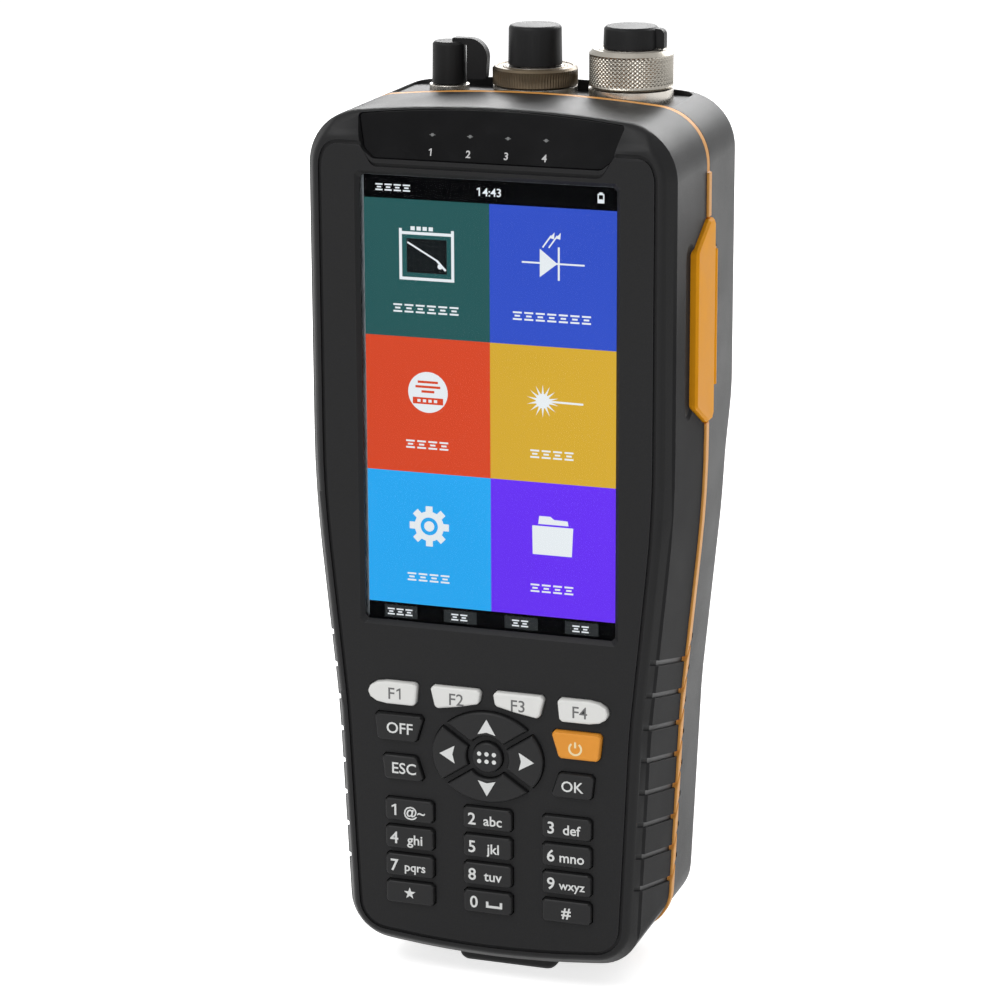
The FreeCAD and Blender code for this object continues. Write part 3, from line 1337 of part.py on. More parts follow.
PIECES["side_cover"] = side_cover()
PIECES["side_cover_anchor"] = side_cover_anchor()
PIECES["battery_pack"] = battery_pack()
PIECES["battery_contacts"] = battery_contacts()
PIECES["battery_door"] = battery_door()
PIECES["door_screws"] = door_screws()
PIECES["bottom_foot"] = bottom_foot()
fixings = [screw(x, z, back_depth(z), SEAM_DEPTH - SCREW_REACH) for x, z in boss_spots()]
PIECES["case_screws"] = Part.makeCompound(fixings)
for key_name in KEYS:
    PIECES[key_name] = key_solid(key_name)

os.makedirs("parts", exist_ok=True)
for name, shape in PIECES.items():
    shape.translate(V(0, SHIFT_Y, 0))
    shape.exportStep("parts/" + name + ".step")
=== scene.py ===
import json
from math import cos, pi, radians, sin

import bmesh
import bpy
import numpy as np
from mathutils import Matrix, Vector

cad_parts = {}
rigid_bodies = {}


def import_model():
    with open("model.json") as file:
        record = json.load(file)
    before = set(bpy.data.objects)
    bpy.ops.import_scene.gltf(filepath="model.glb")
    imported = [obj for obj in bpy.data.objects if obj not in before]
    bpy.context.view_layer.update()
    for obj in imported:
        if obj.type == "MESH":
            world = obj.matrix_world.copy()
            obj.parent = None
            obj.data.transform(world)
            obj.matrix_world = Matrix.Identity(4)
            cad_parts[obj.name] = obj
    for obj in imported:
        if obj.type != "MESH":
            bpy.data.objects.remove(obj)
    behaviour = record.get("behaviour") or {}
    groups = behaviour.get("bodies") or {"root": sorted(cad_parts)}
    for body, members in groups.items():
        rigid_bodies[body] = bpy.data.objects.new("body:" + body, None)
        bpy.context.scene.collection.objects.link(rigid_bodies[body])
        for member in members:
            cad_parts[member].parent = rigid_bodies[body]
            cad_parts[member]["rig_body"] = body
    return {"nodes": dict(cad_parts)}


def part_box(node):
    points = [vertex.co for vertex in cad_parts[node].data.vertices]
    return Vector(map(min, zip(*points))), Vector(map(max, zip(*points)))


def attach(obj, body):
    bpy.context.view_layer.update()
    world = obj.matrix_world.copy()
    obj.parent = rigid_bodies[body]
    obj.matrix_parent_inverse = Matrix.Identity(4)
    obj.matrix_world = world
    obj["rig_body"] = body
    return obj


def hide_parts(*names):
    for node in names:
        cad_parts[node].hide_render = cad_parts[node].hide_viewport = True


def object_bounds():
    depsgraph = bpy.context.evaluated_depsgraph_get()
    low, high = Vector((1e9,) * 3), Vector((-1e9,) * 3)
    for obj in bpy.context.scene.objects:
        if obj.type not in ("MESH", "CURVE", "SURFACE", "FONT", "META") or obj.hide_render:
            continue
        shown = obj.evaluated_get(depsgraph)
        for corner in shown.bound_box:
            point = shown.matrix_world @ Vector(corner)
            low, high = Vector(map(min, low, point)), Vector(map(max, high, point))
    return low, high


# A handheld optical time domain reflectometer: two moulded half shells with a rubber bead
# between them, a colour display, a rubber keypad, three optical ports and a battery door.

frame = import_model()
cad_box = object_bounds()
mm = 0.001


# ---------------------------------------------------------------- half shells
# Injection-moulded black ABS with a fine spark-eroded grain. The edges left by the tool are
# slightly rounded, and hands polish them a little.
class Signal:
    """A shader socket; arithmetic on it adds Math nodes, and node() adds any other node."""

    def __init__(self, tree, socket=None):
        self.tree, self.socket = tree, socket

    def node(self, kind, settings=None, values=None, out=0):
        """A node of that type: settings first, then values or links by socket name or number."""
        made = self.tree.nodes.new(kind)
        for key, value in (settings or {}).items():
            setattr(made, key, value)
        for key, value in (values or {}).items():
            if isinstance(value, Signal):
                self.tree.links.new(value.socket, made.inputs[key])
            else:
                made.inputs[key].default_value = value
        return Signal(self.tree, made.outputs[out])

    def maths(self, operation, first, second):
        return self.node("ShaderNodeMath", {"operation": operation}, {0: first, 1: second})

    def __add__(self, other): return self.maths("ADD", self, other)
    def __radd__(self, other): return self.maths("ADD", other, self)
    def __sub__(self, other): return self.maths("SUBTRACT", self, other)
    def __rsub__(self, other): return self.maths("SUBTRACT", other, self)
    def __mul__(self, other): return self.maths("MULTIPLY", self, other)
    def __gt__(self, other): return self.maths("GREATER_THAN", self, other)
    def __lt__(self, other): return self.maths("LESS_THAN", self, other)

    def blend(self, low, high):
        """Colour that goes from low to high as this signal goes from 0 to 1."""
        choice = {"data_type": "RGBA", "clamp_factor": True}
        return self.node("ShaderNodeMix", choice, {0: self, 6: low, 7: high}, out=2)

    def noise(self, size, detail=3.0, seed=0.0, stretch=(1, 1, 1)):
        """Soft noise with lumps of that size in metres, on Object coordinates."""
        spot = self.node("ShaderNodeTexCoord", out=3)
        place = {"Location": (seed, seed * 0.7, -seed), "Scale": tuple(s / size for s in stretch)}
        moved = self.node("ShaderNodeMapping", None, {"Vector": spot, **place})
        values = {"Vector": moved, "Scale": 1.0, "Detail": detail}
        return self.node("ShaderNodeTexNoise", None, values)

    def shown(self, output="ShaderNodeOutputMaterial"):
        """End of the tree: this shader is what the material or the world shows."""
        self.tree.links.new(self.socket, self.tree.nodes.new(output).inputs[0])


def cleared(owner):
    """The start of an empty node tree in a material or a world."""
    owner.use_nodes = True
    owner.node_tree.nodes.clear()
    return Signal(owner.node_tree)


def tone(colour, factor):
    """The same colour, lighter or darker."""
    return tuple(min(1.0, c * factor) for c in colour[:3]) + (1.0,)


def finish(name, colour, rough, recipe, **fixed):
    """A Principled material. recipe(start, colour, rough) gives what varies over the surface;
    the rest are constants on the shader's own sockets."""
    made = bpy.data.materials.new(name)
    start = cleared(made)
    colour = tuple(colour) + (1.0,)
    made.diffuse_color = colour
    constants = {"Roughness": rough, "Base Color": colour}
    constants.update((key.replace("_", " "), value) for key, value in fixed.items())
    shader = start.node("ShaderNodeBsdfPrincipled", None, constants)
    shader.shown()
    for key, value in recipe(start, colour, rough).items():
        start.tree.links.new(value.socket, shader.socket.node.inputs[key])
    return made


def bumped(height, depth, distance=0.0001):
    """Normal tilted by a height signal."""
    values = {"Height": height, "Strength": depth, "Distance": distance}
    return height.node("ShaderNodeBump", None, values)


def edge_mask(start, radius):
    """1 where the surface turns sharply within the radius, 0 on flat and hollow ground."""
    soft = start.node("ShaderNodeBevel", {"samples": 4}, {"Radius": radius})
    plain = start.node("ShaderNodeNewGeometry", out=1)
    product = {"operation": "DOT_PRODUCT"}
    dot = start.node("ShaderNodeVectorMath", product, {0: soft, 1: plain}, out=1)
    return (1 - dot) * 6


def moulded(grain, depth, mottle=0.12, wear=0.0):
    """Plastic: grain size and depth, soft clouding, and paler worn edges."""
    def recipe(start, colour, rough):
        fine = start.noise(grain * mm, 2.0)
        broad = start.noise(14 * mm, 4.0, 3.0)
        tint = broad.blend(tone(colour, 1 - mottle), tone(colour, 1 + mottle))
        speck = (fine > 0.62) * 0.25
        tint = speck.blend(tint, tone(colour, 1.5))
        if wear:
            mask = edge_mask(start, 0.35 * mm) * (start.noise(3 * mm, 5.0, 8.0) + 0.2)
            tint = (mask * wear).blend(tint, tone(colour, 2.6))
        gloss = rough + (broad - 0.5) * 0.16 + (fine - 0.5) * 0.1
        return {"Base Color": tint, "Roughness": gloss, "Normal": bumped(fine, depth)}
    return recipe


def moulding(node, edge, look, slot, segments=2):
    """The CAD solid's skin, joined up, its flat ground run together and its edges rounded."""
    source, sharp = frame["nodes"][node], radians(28)
    mesh = source.data.copy()
    mesh.name = node + "_skin"
    work = bmesh.new()
    work.from_mesh(mesh)
    bmesh.ops.remove_doubles(work, verts=work.verts, dist=2e-6)
    bmesh.ops.dissolve_limit(work, angle_limit=radians(0.6), verts=work.verts, edges=work.edges)
    work.to_mesh(mesh)
    work.free()
    mesh.materials.clear()
    mesh.materials.append(look)
    mesh.shade_smooth()
    mesh.set_sharp_from_angle(angle=sharp)
    piece = bpy.data.objects.new(node + "_skin", mesh)
    bpy.context.scene.collection.objects.link(piece)
    if edge:
        bevel = piece.modifiers.new("edge", "BEVEL")
        bevel.width, bevel.segments = edge * mm, segments
        bevel.limit_method, bevel.angle_limit = "ANGLE", sharp
        bevel.harden_normals, bevel.miter_outer = True, "MITER_ARC"
        bevel.use_clamp_overlap = True
    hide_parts(node)
    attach(piece, source["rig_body"])
    return piece


corner_heights = (7.6, 59.4, 105.4)     # corners of the outline before they are rounded
half_widths = (32.0, 34.4, 39.0)        # and its half width there
arc_ends = (52.7, 66.1, 92.9, 117.9)    # ends of the arcs that round the upper two corners
leans = (2.65, 5.71, 5.71, 0.0)         # lean of the flank at those ends, in degrees


def true_flanks(piece):
    """Round the edges for good, then give both flanks the normals of their real outline: it
    leans in by two tapers, joined by wide arcs, so the lean follows the height in straight runs.
    The flat front and rear faces keep their plain normals up to their very edge."""
    view = bpy.context.evaluated_depsgraph_get()
    mesh = bpy.data.meshes.new_from_object(
        piece.evaluated_get(view), preserve_all_data_layers=True, depsgraph=view)
    piece.modifiers.clear()
    piece.data = mesh

    def read(items, field, width=3, kind=float):
        values = np.empty(len(items) * width, kind)
        items.foreach_get(field, values)
        return values.reshape(-1, width) if width > 1 else values

    normals = read(mesh.corner_normals, "vector")
    centres, facing = read(mesh.polygons, "center"), read(mesh.polygons, "normal")
    counts = read(mesh.polygons, "loop_total", 1, int)
    height = read(mesh.vertices, "co")[read(mesh.loops, "vertex_index", 1, int), 2] / mm
    outline = np.interp(centres[:, 2] / mm, corner_heights, half_widths)
    sideways = (np.abs(facing[:, 1]) < 0.03) & (np.abs(facing[:, 0]) > 0.97)
    outside = np.abs(centres[:, 0]) / mm > outline - 0.35
    between = (centres[:, 2] > 17 * mm) & (centres[:, 2] < 172 * mm)
    flank = np.repeat(sideways & outside & between, counts)[:, None]
    lean = np.interp(height, arc_ends, np.radians(leans))
    side = np.sign(np.repeat(facing[:, 0], counts))
    true = np.column_stack([side * np.cos(lean), 0 * lean, -np.sin(lean)])
    level = np.repeat(np.abs(facing[:, 1]) > 0.9999, counts)[:, None]
    normals = np.where(level, np.repeat(facing, counts, axis=0), normals)
    mesh.normals_split_custom_set(np.where(flank, true, normals).tolist())


shell_colour, shell_gloss = (0.0115, 0.0115, 0.012), {"Specular_IOR_Level": 0.15}
shell_grain = moulded(0.22, 0.35, 0.1, 0.3)
shell_black = finish("shell_black", shell_colour, 0.44, shell_grain, **shell_gloss)


def dull_flanks(start, colour, rough):
    """The same plastic, with a duller grain on the flanks, where a hand holds it:
    the flank is wherever x comes within half a millimetre of the outline at that height. The
    dull grain fades out towards the top corner."""
    looks = shell_grain(start, colour, rough)
    split = {"Vector": start.node("ShaderNodeTexCoord", out=3)}
    x, z = (start.node("ShaderNodeSeparateXYZ", None, split, out=k) for k in (0, 2))

    def run(z0, z1, value0, value1):
        """From one value to the other between two heights in millimetres."""
        ends = {0: z, 1: z0 * mm, 2: z1 * mm, 3: value0, 4: value1}
        return start.node("ShaderNodeMapRange", {"clamp": True}, ends)

    (z0, z1, z2), (w0, w1, w2) = corner_heights, half_widths
    outline = run(z0, z1, w0 * mm, w1 * mm) + run(z1, z2, 0.0, (w2 - w1) * mm)
    flank = x.maths("ABSOLUTE", x, 0.0) > (outline - 0.5 * mm)
    looks["Roughness"] = looks["Roughness"] + flank * run(174, 138, 0.0, 0.36)
    return looks


shell_front = finish("shell_front", shell_colour, 0.44, dull_flanks, **shell_gloss)
for node, look in (("front_shell", shell_front), ("rear_shell", shell_black)):
    true_flanks(moulding(node, 0.22, look, "shell_black"))

# ---------------------------------------------------------------- seam bead
# Orange silicone moulded as one ring, pressed between the shells and standing a little proud.
def rubbery(grain, depth, dust=0.1):
    """Soft rubber: fine skin, faint paler bloom and a slow change of gloss."""
    def recipe(start, colour, rough):
        skin = start.noise(grain * mm, 3.0, 1.0)
        bloom = start.noise(9 * mm, 5.0, 6.0)
        tint = (bloom * bloom).blend(tone(colour, 1 - dust), tone(colour, 1 + dust * 1.5))
        gloss = rough + (bloom - 0.5) * 0.2
        return {"Base Color": tint, "Roughness": gloss, "Normal": bumped(skin, depth)}
    return recipe


rubber_orange = finish("rubber_orange", (0.76, 0.35, 0.075), 0.5, rubbery(0.35, 0.12),
                       Specular_IOR_Level=0.3)
moulding("seam_seal", 0.3, rubber_orange, "rubber_orange", segments=3)

# ---------------------------------------------------------------- case screws
# Zinc-plated pan-head screws with a cross recess and a rolled thread, six down the back.
def grid(rows, columns, closed=False):
    """Quads between neighbouring points laid out row by row; the columns run right round,
    and closed joins the last row to the first as well."""
    down = np.arange(rows if closed else rows - 1)
    r, c = np.meshgrid(down, np.arange(columns), indexing="ij")
    n, s = (c + 1) % columns, (r + 1) % rows
    quads = [r * columns + c, r * columns + n, s * columns + n, s * columns + c]
    return np.stack(quads, -1).reshape(-1, 4).tolist()


def lathe(profile, steps, relief=None, closed=False):
    """Profile of (radius, height) rows carried round the local z axis. relief(turn, height,
    row) is added to the radius. An open profile is closed by a flat disc at both ends."""
    rows = np.asarray(profile, float)
    turn = np.linspace(0, 2 * pi, steps, endpoint=False)[None, :]
    radius, height = rows[:, 0:1] + 0 * turn, rows[:, 1:2] + 0 * turn
    if relief:
        radius = radius + relief(turn + 0 * height, height, np.arange(len(rows))[:, None])
    points = np.stack([radius * np.cos(turn), radius * np.sin(turn), height], -1).reshape(-1, 3)
    faces = grid(len(rows), steps, closed)
    if not closed:
        last = (len(rows) - 1) * steps
        faces += [list(range(steps))[::-1], list(range(last, last + steps))]
    return points, faces


UPRIGHT = ((1, 0, 0), (0, 1, 0), (0, 0, 1))
FROM_BACK = ((0, 0, 1), (1, 0, 0), (0, 1, 0))
ON_FACE = ((1, 0, 0), (0, 0, 1), (0, -1, 0))


def placed(shape, origin, axes):
    """The same shape with its own x, y and z laid along three directions from origin."""
    points, faces = shape
    return np.asarray(points) @ np.array(axes, float) + np.array(origin, float), faces


def assembled(name, shapes, finishes, body, slot, stands_for=()):
    """One piece from several shapes, in millimetres, each with the number of its finish."""
    corners, faces, marks, base = [], [], [], 0
    for (points, quads), mark in shapes:
        corners.append(np.asarray(points, float) * mm)
        faces += [[i + base for i in face] for face in quads]
        marks += [mark] * len(quads)
        base += len(points)
    mesh = bpy.data.meshes.new(name)
    mesh.from_pydata(np.concatenate(corners).tolist(), [], faces)
    for each in finishes:
        mesh.materials.append(each)
    mesh.polygons.foreach_set("material_index", marks)
    mesh.shade_smooth()
    mesh.set_sharp_from_angle(angle=radians(32))
    piece = bpy.data.objects.new(name, mesh)
    bpy.context.scene.collection.objects.link(piece)
    if stands_for:
        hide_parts(*stands_for)
    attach(piece, body)


def screw_head(radius, thick):
    """Dome on a polar grid: flat underside, rounded rim, and a cross sunk where the distance
    to either bar of the cross is negative."""
    steps, rings = 48, 22
    turn = np.linspace(0, 2 * pi, steps, endpoint=False)[None, :]
    out = np.linspace(1, 0.02, rings)[:, None] * radius
    x, y = out * np.cos(turn), out * np.sin(turn)
    dome = thick * (0.62 + 0.38 * np.sqrt(np.clip(1 - (out / radius) ** 2, 0, 1))) + 0 * turn
    along, across = np.abs(x), np.abs(y)
    reach, half = 0.56 * radius, 0.13 * radius
    bars = np.minimum(np.maximum(along - reach, across - half),
                      np.maximum(across - reach, along - half))
    dome = dome - np.clip(-bars / 0.12, 0, 1) * thick * 0.5
    top = np.stack([x, y, dome], -1)
    foot = np.stack([x[:1], y[:1], 0 * x[:1]], -1)
    points = np.concatenate([foot, top]).reshape(-1, 3)
    faces = grid(rings + 1, steps)
    faces += [list(range(steps))[::-1], list(range(rings * steps, (rings + 1) * steps))]
    return points, faces


def screw_thread(core, crest, length, pitch):
    """Cylinder whose radius rises to a crest once a pitch and once a turn, so it is a helix."""
    height = np.linspace(0, length, int(length / pitch * 8))
    rows = np.column_stack([np.full_like(height, core), height])

    def ridge(turn, height, row):
        phase = (height / pitch - turn / (2 * pi)) % 1.0
        fade = np.clip((length - height) / 1.2, 0, 1) * np.clip(height / 1.2, 0, 1)
        return (crest - core) * np.clip(1 - np.abs(phase - 0.5) * 3.2, 0, 1) * fade
    return lathe(rows, 24, ridge)


def plated(grain, depth, stretch=(1, 1, 1), tarnish=0.25):
    """Plated metal: fine tool marks stretched along the turning, clouded by handling."""
    def recipe(start, colour, rough):
        marks = start.noise(grain * mm, 4.0, 2.0, stretch)
        cloud = start.noise(5 * mm, 5.0, 4.0)
        tint = cloud.blend(tone(colour, 1 - tarnish), tone(colour, 1 + tarnish * 0.4))
        gloss = rough + (cloud - 0.5) * 0.25 + (marks - 0.5) * 0.15
        return {"Base Color": tint, "Roughness": gloss, "Normal": bumped(marks, depth)}
    return recipe


steel = finish("steel", (0.58, 0.58, 0.6), 0.33, plated(0.12, 0.15), Metallic=1.0)
head_radius, head_thick = 2.5, 1.6
core_radius, crest_radius, thread_pitch = 0.95, 1.3, 0.8


def screws(node, spots, body):
    """Every screw of a node: the depth of its head and tip come from the solid's own points."""
    solid = np.array([v.co for v in frame["nodes"][node].data.vertices]) / mm
    shapes = []
    for x, z in spots:
        own = solid[np.hypot(solid[:, 0] - x, solid[:, 2] - z) < 3.0]
        tip, seat = own[:, 1].min(), own[:, 1].max() - head_thick
        thread = screw_thread(core_radius, crest_radius, seat - tip, thread_pitch)
        shapes.append((placed(screw_head(head_radius, head_thick), (x, seat, z), FROM_BACK), 0))
        shapes.append((placed(thread, (x, tip, z), FROM_BACK), 0))
    assembled(node + "_made", shapes, [steel], body, "steel", [node])


case_pairs = ((25.5, 12.0), (33.2, 97.0), (33.0, 172.0))
screws("case_screws", [(s * x, z) for x, z in case_pairs for s in (1, -1)], "case")

# ---------------------------------------------------------------- display
# A colour panel in a folded metal frame; a clear pane is bonded behind the opening. The menu
# is drawn as thin lit shapes on the panel, with generic pictures and rows of blocks.
def lit(start, colour, rough):
    """Lit picture elements: fine upright stripes and rows, and light a little uneven."""
    spot = start.node("ShaderNodeTexCoord", out=3)
    split = start.node("ShaderNodeSeparateXYZ", None, {"Vector": spot})
    stripe = 0.12 * mm
    across = split.node("ShaderNodeMath", {"operation": "SINE"}, {0: split * (2 * pi / stripe)})
    glow = 1.0 + across * 0.05 + (start.noise(60 * mm, 1.0, 5.0) - 0.5) * 0.12
    values = {0: colour[:3], "Scale": glow}
    tint = glow.node("ShaderNodeVectorMath", {"operation": "SCALE"}, values)
    return {"Emission Color": tint}


only_light = {"Emission_Strength": 1.0, "Base_Color": (0.001, 0.001, 0.001, 1),
              "Specular_IOR_Level": 0.0}


def srgb(r, g, b):
    """Screen colour, 0 to 255, as linear light."""
    return tuple(((c / 255 + 0.055) / 1.055) ** 2.4 if c > 10 else c / 3295 for c in (r, g, b))


def plate(outline, low, high):
    """Flat shape between two heights: the outline is the edge, walked anticlockwise."""
    edge = np.asarray(outline, float)
    n = len(edge)
    points = np.concatenate([np.column_stack([edge, np.full(n, h)]) for h in (low, high)])
    return points, grid(2, n) + [list(range(n))[::-1], list(range(n, 2 * n))]


def bar(x0, x1, y0, y1):
    return [(x0, y0), (x1, y0), (x1, y1), (x0, y1)]


def disc(x, y, radius, steps=40):
    turn = np.linspace(0, 2 * pi, steps, endpoint=False)
    return np.column_stack([x + radius * np.cos(turn), y + radius * np.sin(turn)])


def stroke(x0, y0, x1, y1, width):
    """Straight line of that width."""
    start, run = np.array([x0, y0]), np.array([x1 - x0, y1 - y0])
    side = np.array([-run[1], run[0]]) / np.hypot(*run) * width / 2
    return [start - side, start + run - side, start + run + side, start + side]


def ring(x, y, inner, outer, low, high):
    """Flat ring: a small rectangle carried round."""
    section = [(inner, low), (outer, low), (outer, high), (inner, high)]
    points, faces = lathe(section, 48, None, True)
    return points + np.array([x, y, 0]), faces


def star(x, y, inner, outer, rays):
    """Outline whose radius swings between two values."""
    turn = np.linspace(0, 2 * pi, rays * 2, endpoint=False)
    radius = np.where(np.arange(rays * 2) % 2, inner, outer)
    return np.column_stack([x - radius * np.sin(turn), y + radius * np.cos(turn)])


def caption(x, y, blocks, size):
    """A row of blocks of three short bars, standing where a caption would be."""
    step = size * 1.16
    shapes = []
    for i in range(blocks):
        left = x + (i - blocks / 2) * step
        for k, (a, b) in enumerate(((0.0, 0.9), (0.18, 0.72), (0.0, 0.9))):
            base = y + size * (k - 1.5) * 0.33
            shapes.append(bar(left + a * size, left + b * size, base, base + size * 0.17))
    return shapes


glass_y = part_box("lcd_module")[0].y / mm
picture_x, picture_top, picture_low = 26.93, 172.62, 77.58
tile_w, tile_h, bar_h = picture_x, 28.5, 4.75
black, grey, white, dark, first_tile = range(5)     # numbers of the lit finishes
# where each layer of the picture begins and ends above the glass
ground, tile, sign, inlay, trace = (0.0, 0.03), (0.03, 0.05), (0.05, 0.08), (0.08, 0.09), (0.09, 0.1)
on_bar, inside_sign = (0.03, 0.06), (0.06, 0.07)
tiles = {
    (0, 0): (45, 93, 93), (1, 0): (57, 86, 205), (0, 1): (228, 78, 46),
    (1, 1): (226, 178, 58), (0, 2): (48, 176, 250), (1, 2): (112, 56, 252),
}
lit_tints = {"lit_black": (3, 3, 4), "lit_grey": (50, 52, 53), "lit_white": (246, 248, 250),
             "lit_panel": (22, 26, 28)}
lit_tints.update(("lit_tile_%d" % (i + 1), tint) for i, tint in enumerate(tiles.values()))
lit_looks = [finish(name, srgb(*tint), 0.3, lit, **only_light) for name, tint in lit_tints.items()]
meter_tile = first_tile + list(tiles).index((0, 1))
drawn = []


def draw(outlines, tint=white, layer=sign):
    """Lit shapes in one layer of the picture."""
    for outline in outlines:
        drawn.append((plate(outline, *layer), tint))


def middle(column, row):
    """Middle of a tile's picture and height of its caption."""
    x, top = -picture_x + (column + 0.5) * tile_w, picture_top - bar_h
    return x, top - (row + 0.4) * tile_h, top - (row + 0.785) * tile_h


draw([bar(-picture_x, picture_x, picture_low, picture_top)], black, ground)
for i, (column, row) in enumerate(tiles):
    left, top = -picture_x + column * tile_w, picture_top - bar_h - row * tile_h
    draw([bar(left, left + tile_w, top - tile_h, top)], first_tile + i, tile)
for spot, blocks in zip(tiles, (6, 7, 4, 4, 4, 4)):
    x, _, y = middle(*spot)
    draw(caption(x, y, blocks, 2.1))
# trace screen of a test set
x, y, _ = middle(0, 0)
draw([bar(x - 5.6, x + 5.6, y - 5.2, y - 4.6), bar(x - 5.6, x + 5.6, y + 4.2, y + 4.8)])
draw([bar(x - 5.9, x - 5.3, y - 5.2, y + 5.4), bar(x + 5.3, x + 5.9, y - 5.2, y + 5.4)])
draw([bar(x - 3.4 + i * 1.3, x - 2.5 + i * 1.3, y + 5.1, y + 5.9) for i in range(4)])
draw([bar(x - 4.3, x + 4.3, y - 3.6, y + 3.4)], dark)
draw([bar(x - 4.3, x + 4.3, y - 3.65 + k * 1.4, y - 3.58 + k * 1.4) for k in range(6)], grey, inlay)
draw([bar(x - 4.3 + k * 1.43, x - 4.23 + k * 1.43, y - 3.6, y + 3.4) for k in range(7)], grey, inlay)
draw([stroke(x - 4.1, y + 2.6, x + 2.2, y - 0.9, 0.35)], white, trace)
draw([stroke(x + 2.2, y - 0.9, x + 4.1, y - 2.9, 0.45)], white, trace)
draw([disc(x + 2.9, y - 2.1, 0.55)], white, trace)
# laser diode
x, y, _ = middle(1, 0)
draw([stroke(x - 6.6, y, x + 6.6, y, 0.35), stroke(x + 1.2, y - 3.4, x + 1.2, y + 3.4, 0.4)])
draw([[(x - 2.8, y - 2.9), (x + 0.9, y), (x - 2.8, y + 2.9)]])
draw([stroke(x - 2.2 + k, y + 3.2, x - 0.4 + k, y + 5.7, 0.3) for k in (0, 1.3)])
draw([[(x - 0.7 + k, y + 5.2), (x + 0.2 + k, y + 5.0), (x + 0.3 + k, y + 6.4)] for k in (0, 1.3)])
# power meter
x, y, _ = middle(0, 1)
draw([disc(x, y, 4.3)])
lines = ((2.2, 1.9, 2.4), (2.7, 0.9, 1.4), (1.4, -0.1, 0.4), (3.3, -2.5, -1.1))
draw([bar(x - w, x + w, y + low, y + high) for w, low, high in lines], meter_tile, inlay)
draw([bar(x - 2.3 + k, x - 1.6 + k, y - 2.1, y - 1.5) for k in (0, 1.2, 2.4, 3.6)], white, trace)
# steady light source
x, y, _ = middle(1, 1)
draw([disc(x - 2.2, y, 1.5), star(x - 2.2, y, 1.2, 3.4, 14)])
draw([stroke(x - 1.0, y, x + 6.4, y - 0.1, 0.4)])
# settings wheel
x, y, _ = middle(0, 2)
drawn.append((ring(x, y, 1.9, 3.2, *sign), white))
draw([disc(x, y, 1.1)])
for turn in np.linspace(0, 2 * pi, 8, endpoint=False):
    c, s = cos(turn), sin(turn)
    draw([stroke(x + 3.0 * c, y + 3.0 * s, x + 4.3 * c, y + 4.3 * s, 1.5)])
# folder
x, y, _ = middle(1, 2)
draw([[(x - 4.4, y - 3.9), (x + 4.0, y - 3.9), (x + 4.3, y + 2.2), (x - 4.5, y + 2.2)]])
draw([[(x - 3.2, y + 2.6), (x + 3.3, y + 2.6), (x + 3.1, y + 3.6),
       (x + 0.2, y + 3.7), (x - 0.6, y + 4.3), (x - 3.0, y + 4.3)]])


letter_cap = 0.72       # height of a capital in the plain built-in letter


def lettering(words, height, x, y, low, high, weight=0.0):
    """Generic characters in that letter: cap height, and where their middle is."""
    curve = bpy.data.curves.new("letters", "FONT")
    curve.body, curve.resolution_u, curve.offset = words, 3, weight
    curve.align_x, curve.extrude, curve.fill_mode = "CENTER", 0.5, "BOTH"
    holder = bpy.data.objects.new("letters", curve)
    mesh = bpy.data.meshes.new_from_object(holder)
    points = np.array([v.co for v in mesh.vertices])
    faces = [list(p.vertices) for p in mesh.polygons]
    bpy.data.objects.remove(holder)
    bpy.data.meshes.remove(mesh)
    scale = height / letter_cap
    middle_x = (points[:, 0].min() + points[:, 0].max()) / 2
    points[:, 0] = (points[:, 0] - middle_x) * scale + x
    points[:, 1] = (points[:, 1] - letter_cap / 2) * scale + y
    points[:, 2] = np.where(points[:, 2] > 0, high, low)
    return points, faces


def figure_one(height, x, y, low, high, stem=0.16):
    """The figure 1 as an outline, with a flag; stem is its width as a share of the height."""
    edge = [(-0.02, -0.5), (stem - 0.02, -0.5), (stem - 0.02, 0.5), (0.02, 0.5),
            (-0.26, 0.33), (-0.26, 0.18), (-0.02, 0.3)]
    return plate(np.array(edge) * height + np.array([x, y]), low, high)


# status bar with the clock and a battery
status, small = picture_top - bar_h / 2, 1.7
drawn.append((lettering("4:43", small, 0.55, status, *on_bar, 0.01), white))
drawn.append((figure_one(small, -2.2, status, *on_bar), white))
draw(caption(-20.4, status, 4, small), white, on_bar)
draw([bar(22.75, 24.15, status - 0.95, status + 0.95)], white, on_bar)
draw([bar(23.1, 23.8, status + 0.95, status + 1.25)], white, on_bar)
draw([bar(23.0, 23.9, status - 0.15, status + 0.7)], black, inside_sign)
# labels over the function keys
for x, blocks in ((-19.9, 3), (-6.8, 2), (6.5, 2), (19.6, 2)):
    draw([bar(x - 3.6, x + 3.6, picture_low + 1.5, picture_low + 4.2)], grey, tile)
    draw(caption(x, picture_low + 2.9, blocks, small))
picture = [(placed(shape, (0, glass_y, 0), ON_FACE), tint) for shape, tint in drawn]
assembled("lcd_picture", picture, lit_looks, "case", "screen")


def dress(node, look):
    """The CAD solid stays as it is and gets this finish."""
    solid = frame["nodes"][node]
    solid.data.materials.clear()
    solid.data.materials.append(look)


can_metal = finish("can_metal", (0.6, 0.61, 0.63), 0.4, plated(0.5, 0.2, (1, 1, 8)), Metallic=1.0)
dress("lcd_module", can_metal)


def clear_pane():
    """Coated glass: see-through, with a mirror that grows towards the edge of sight."""
    made = bpy.data.materials.new("window")
    start = cleared(made)
    smear = start.noise(11 * mm, 4.0, 2.0)
    through = start.node("ShaderNodeBsdfTransparent", None, {"Color": (0.93, 0.95, 0.96, 1.0)})
    gloss = 0.04 + smear * 0.06
    mirror = start.node("ShaderNodeBsdfGlossy", None, {"Color": (1, 1, 1, 1), "Roughness": gloss})
    share = start.node("ShaderNodeFresnel", None, {"IOR": 1.33}) * 0.05
    start.node("ShaderNodeMixShader", None, {0: share, 1: through, 2: mirror}).shown()
    return made


moulding("display_window", 0, clear_pane(), "window")

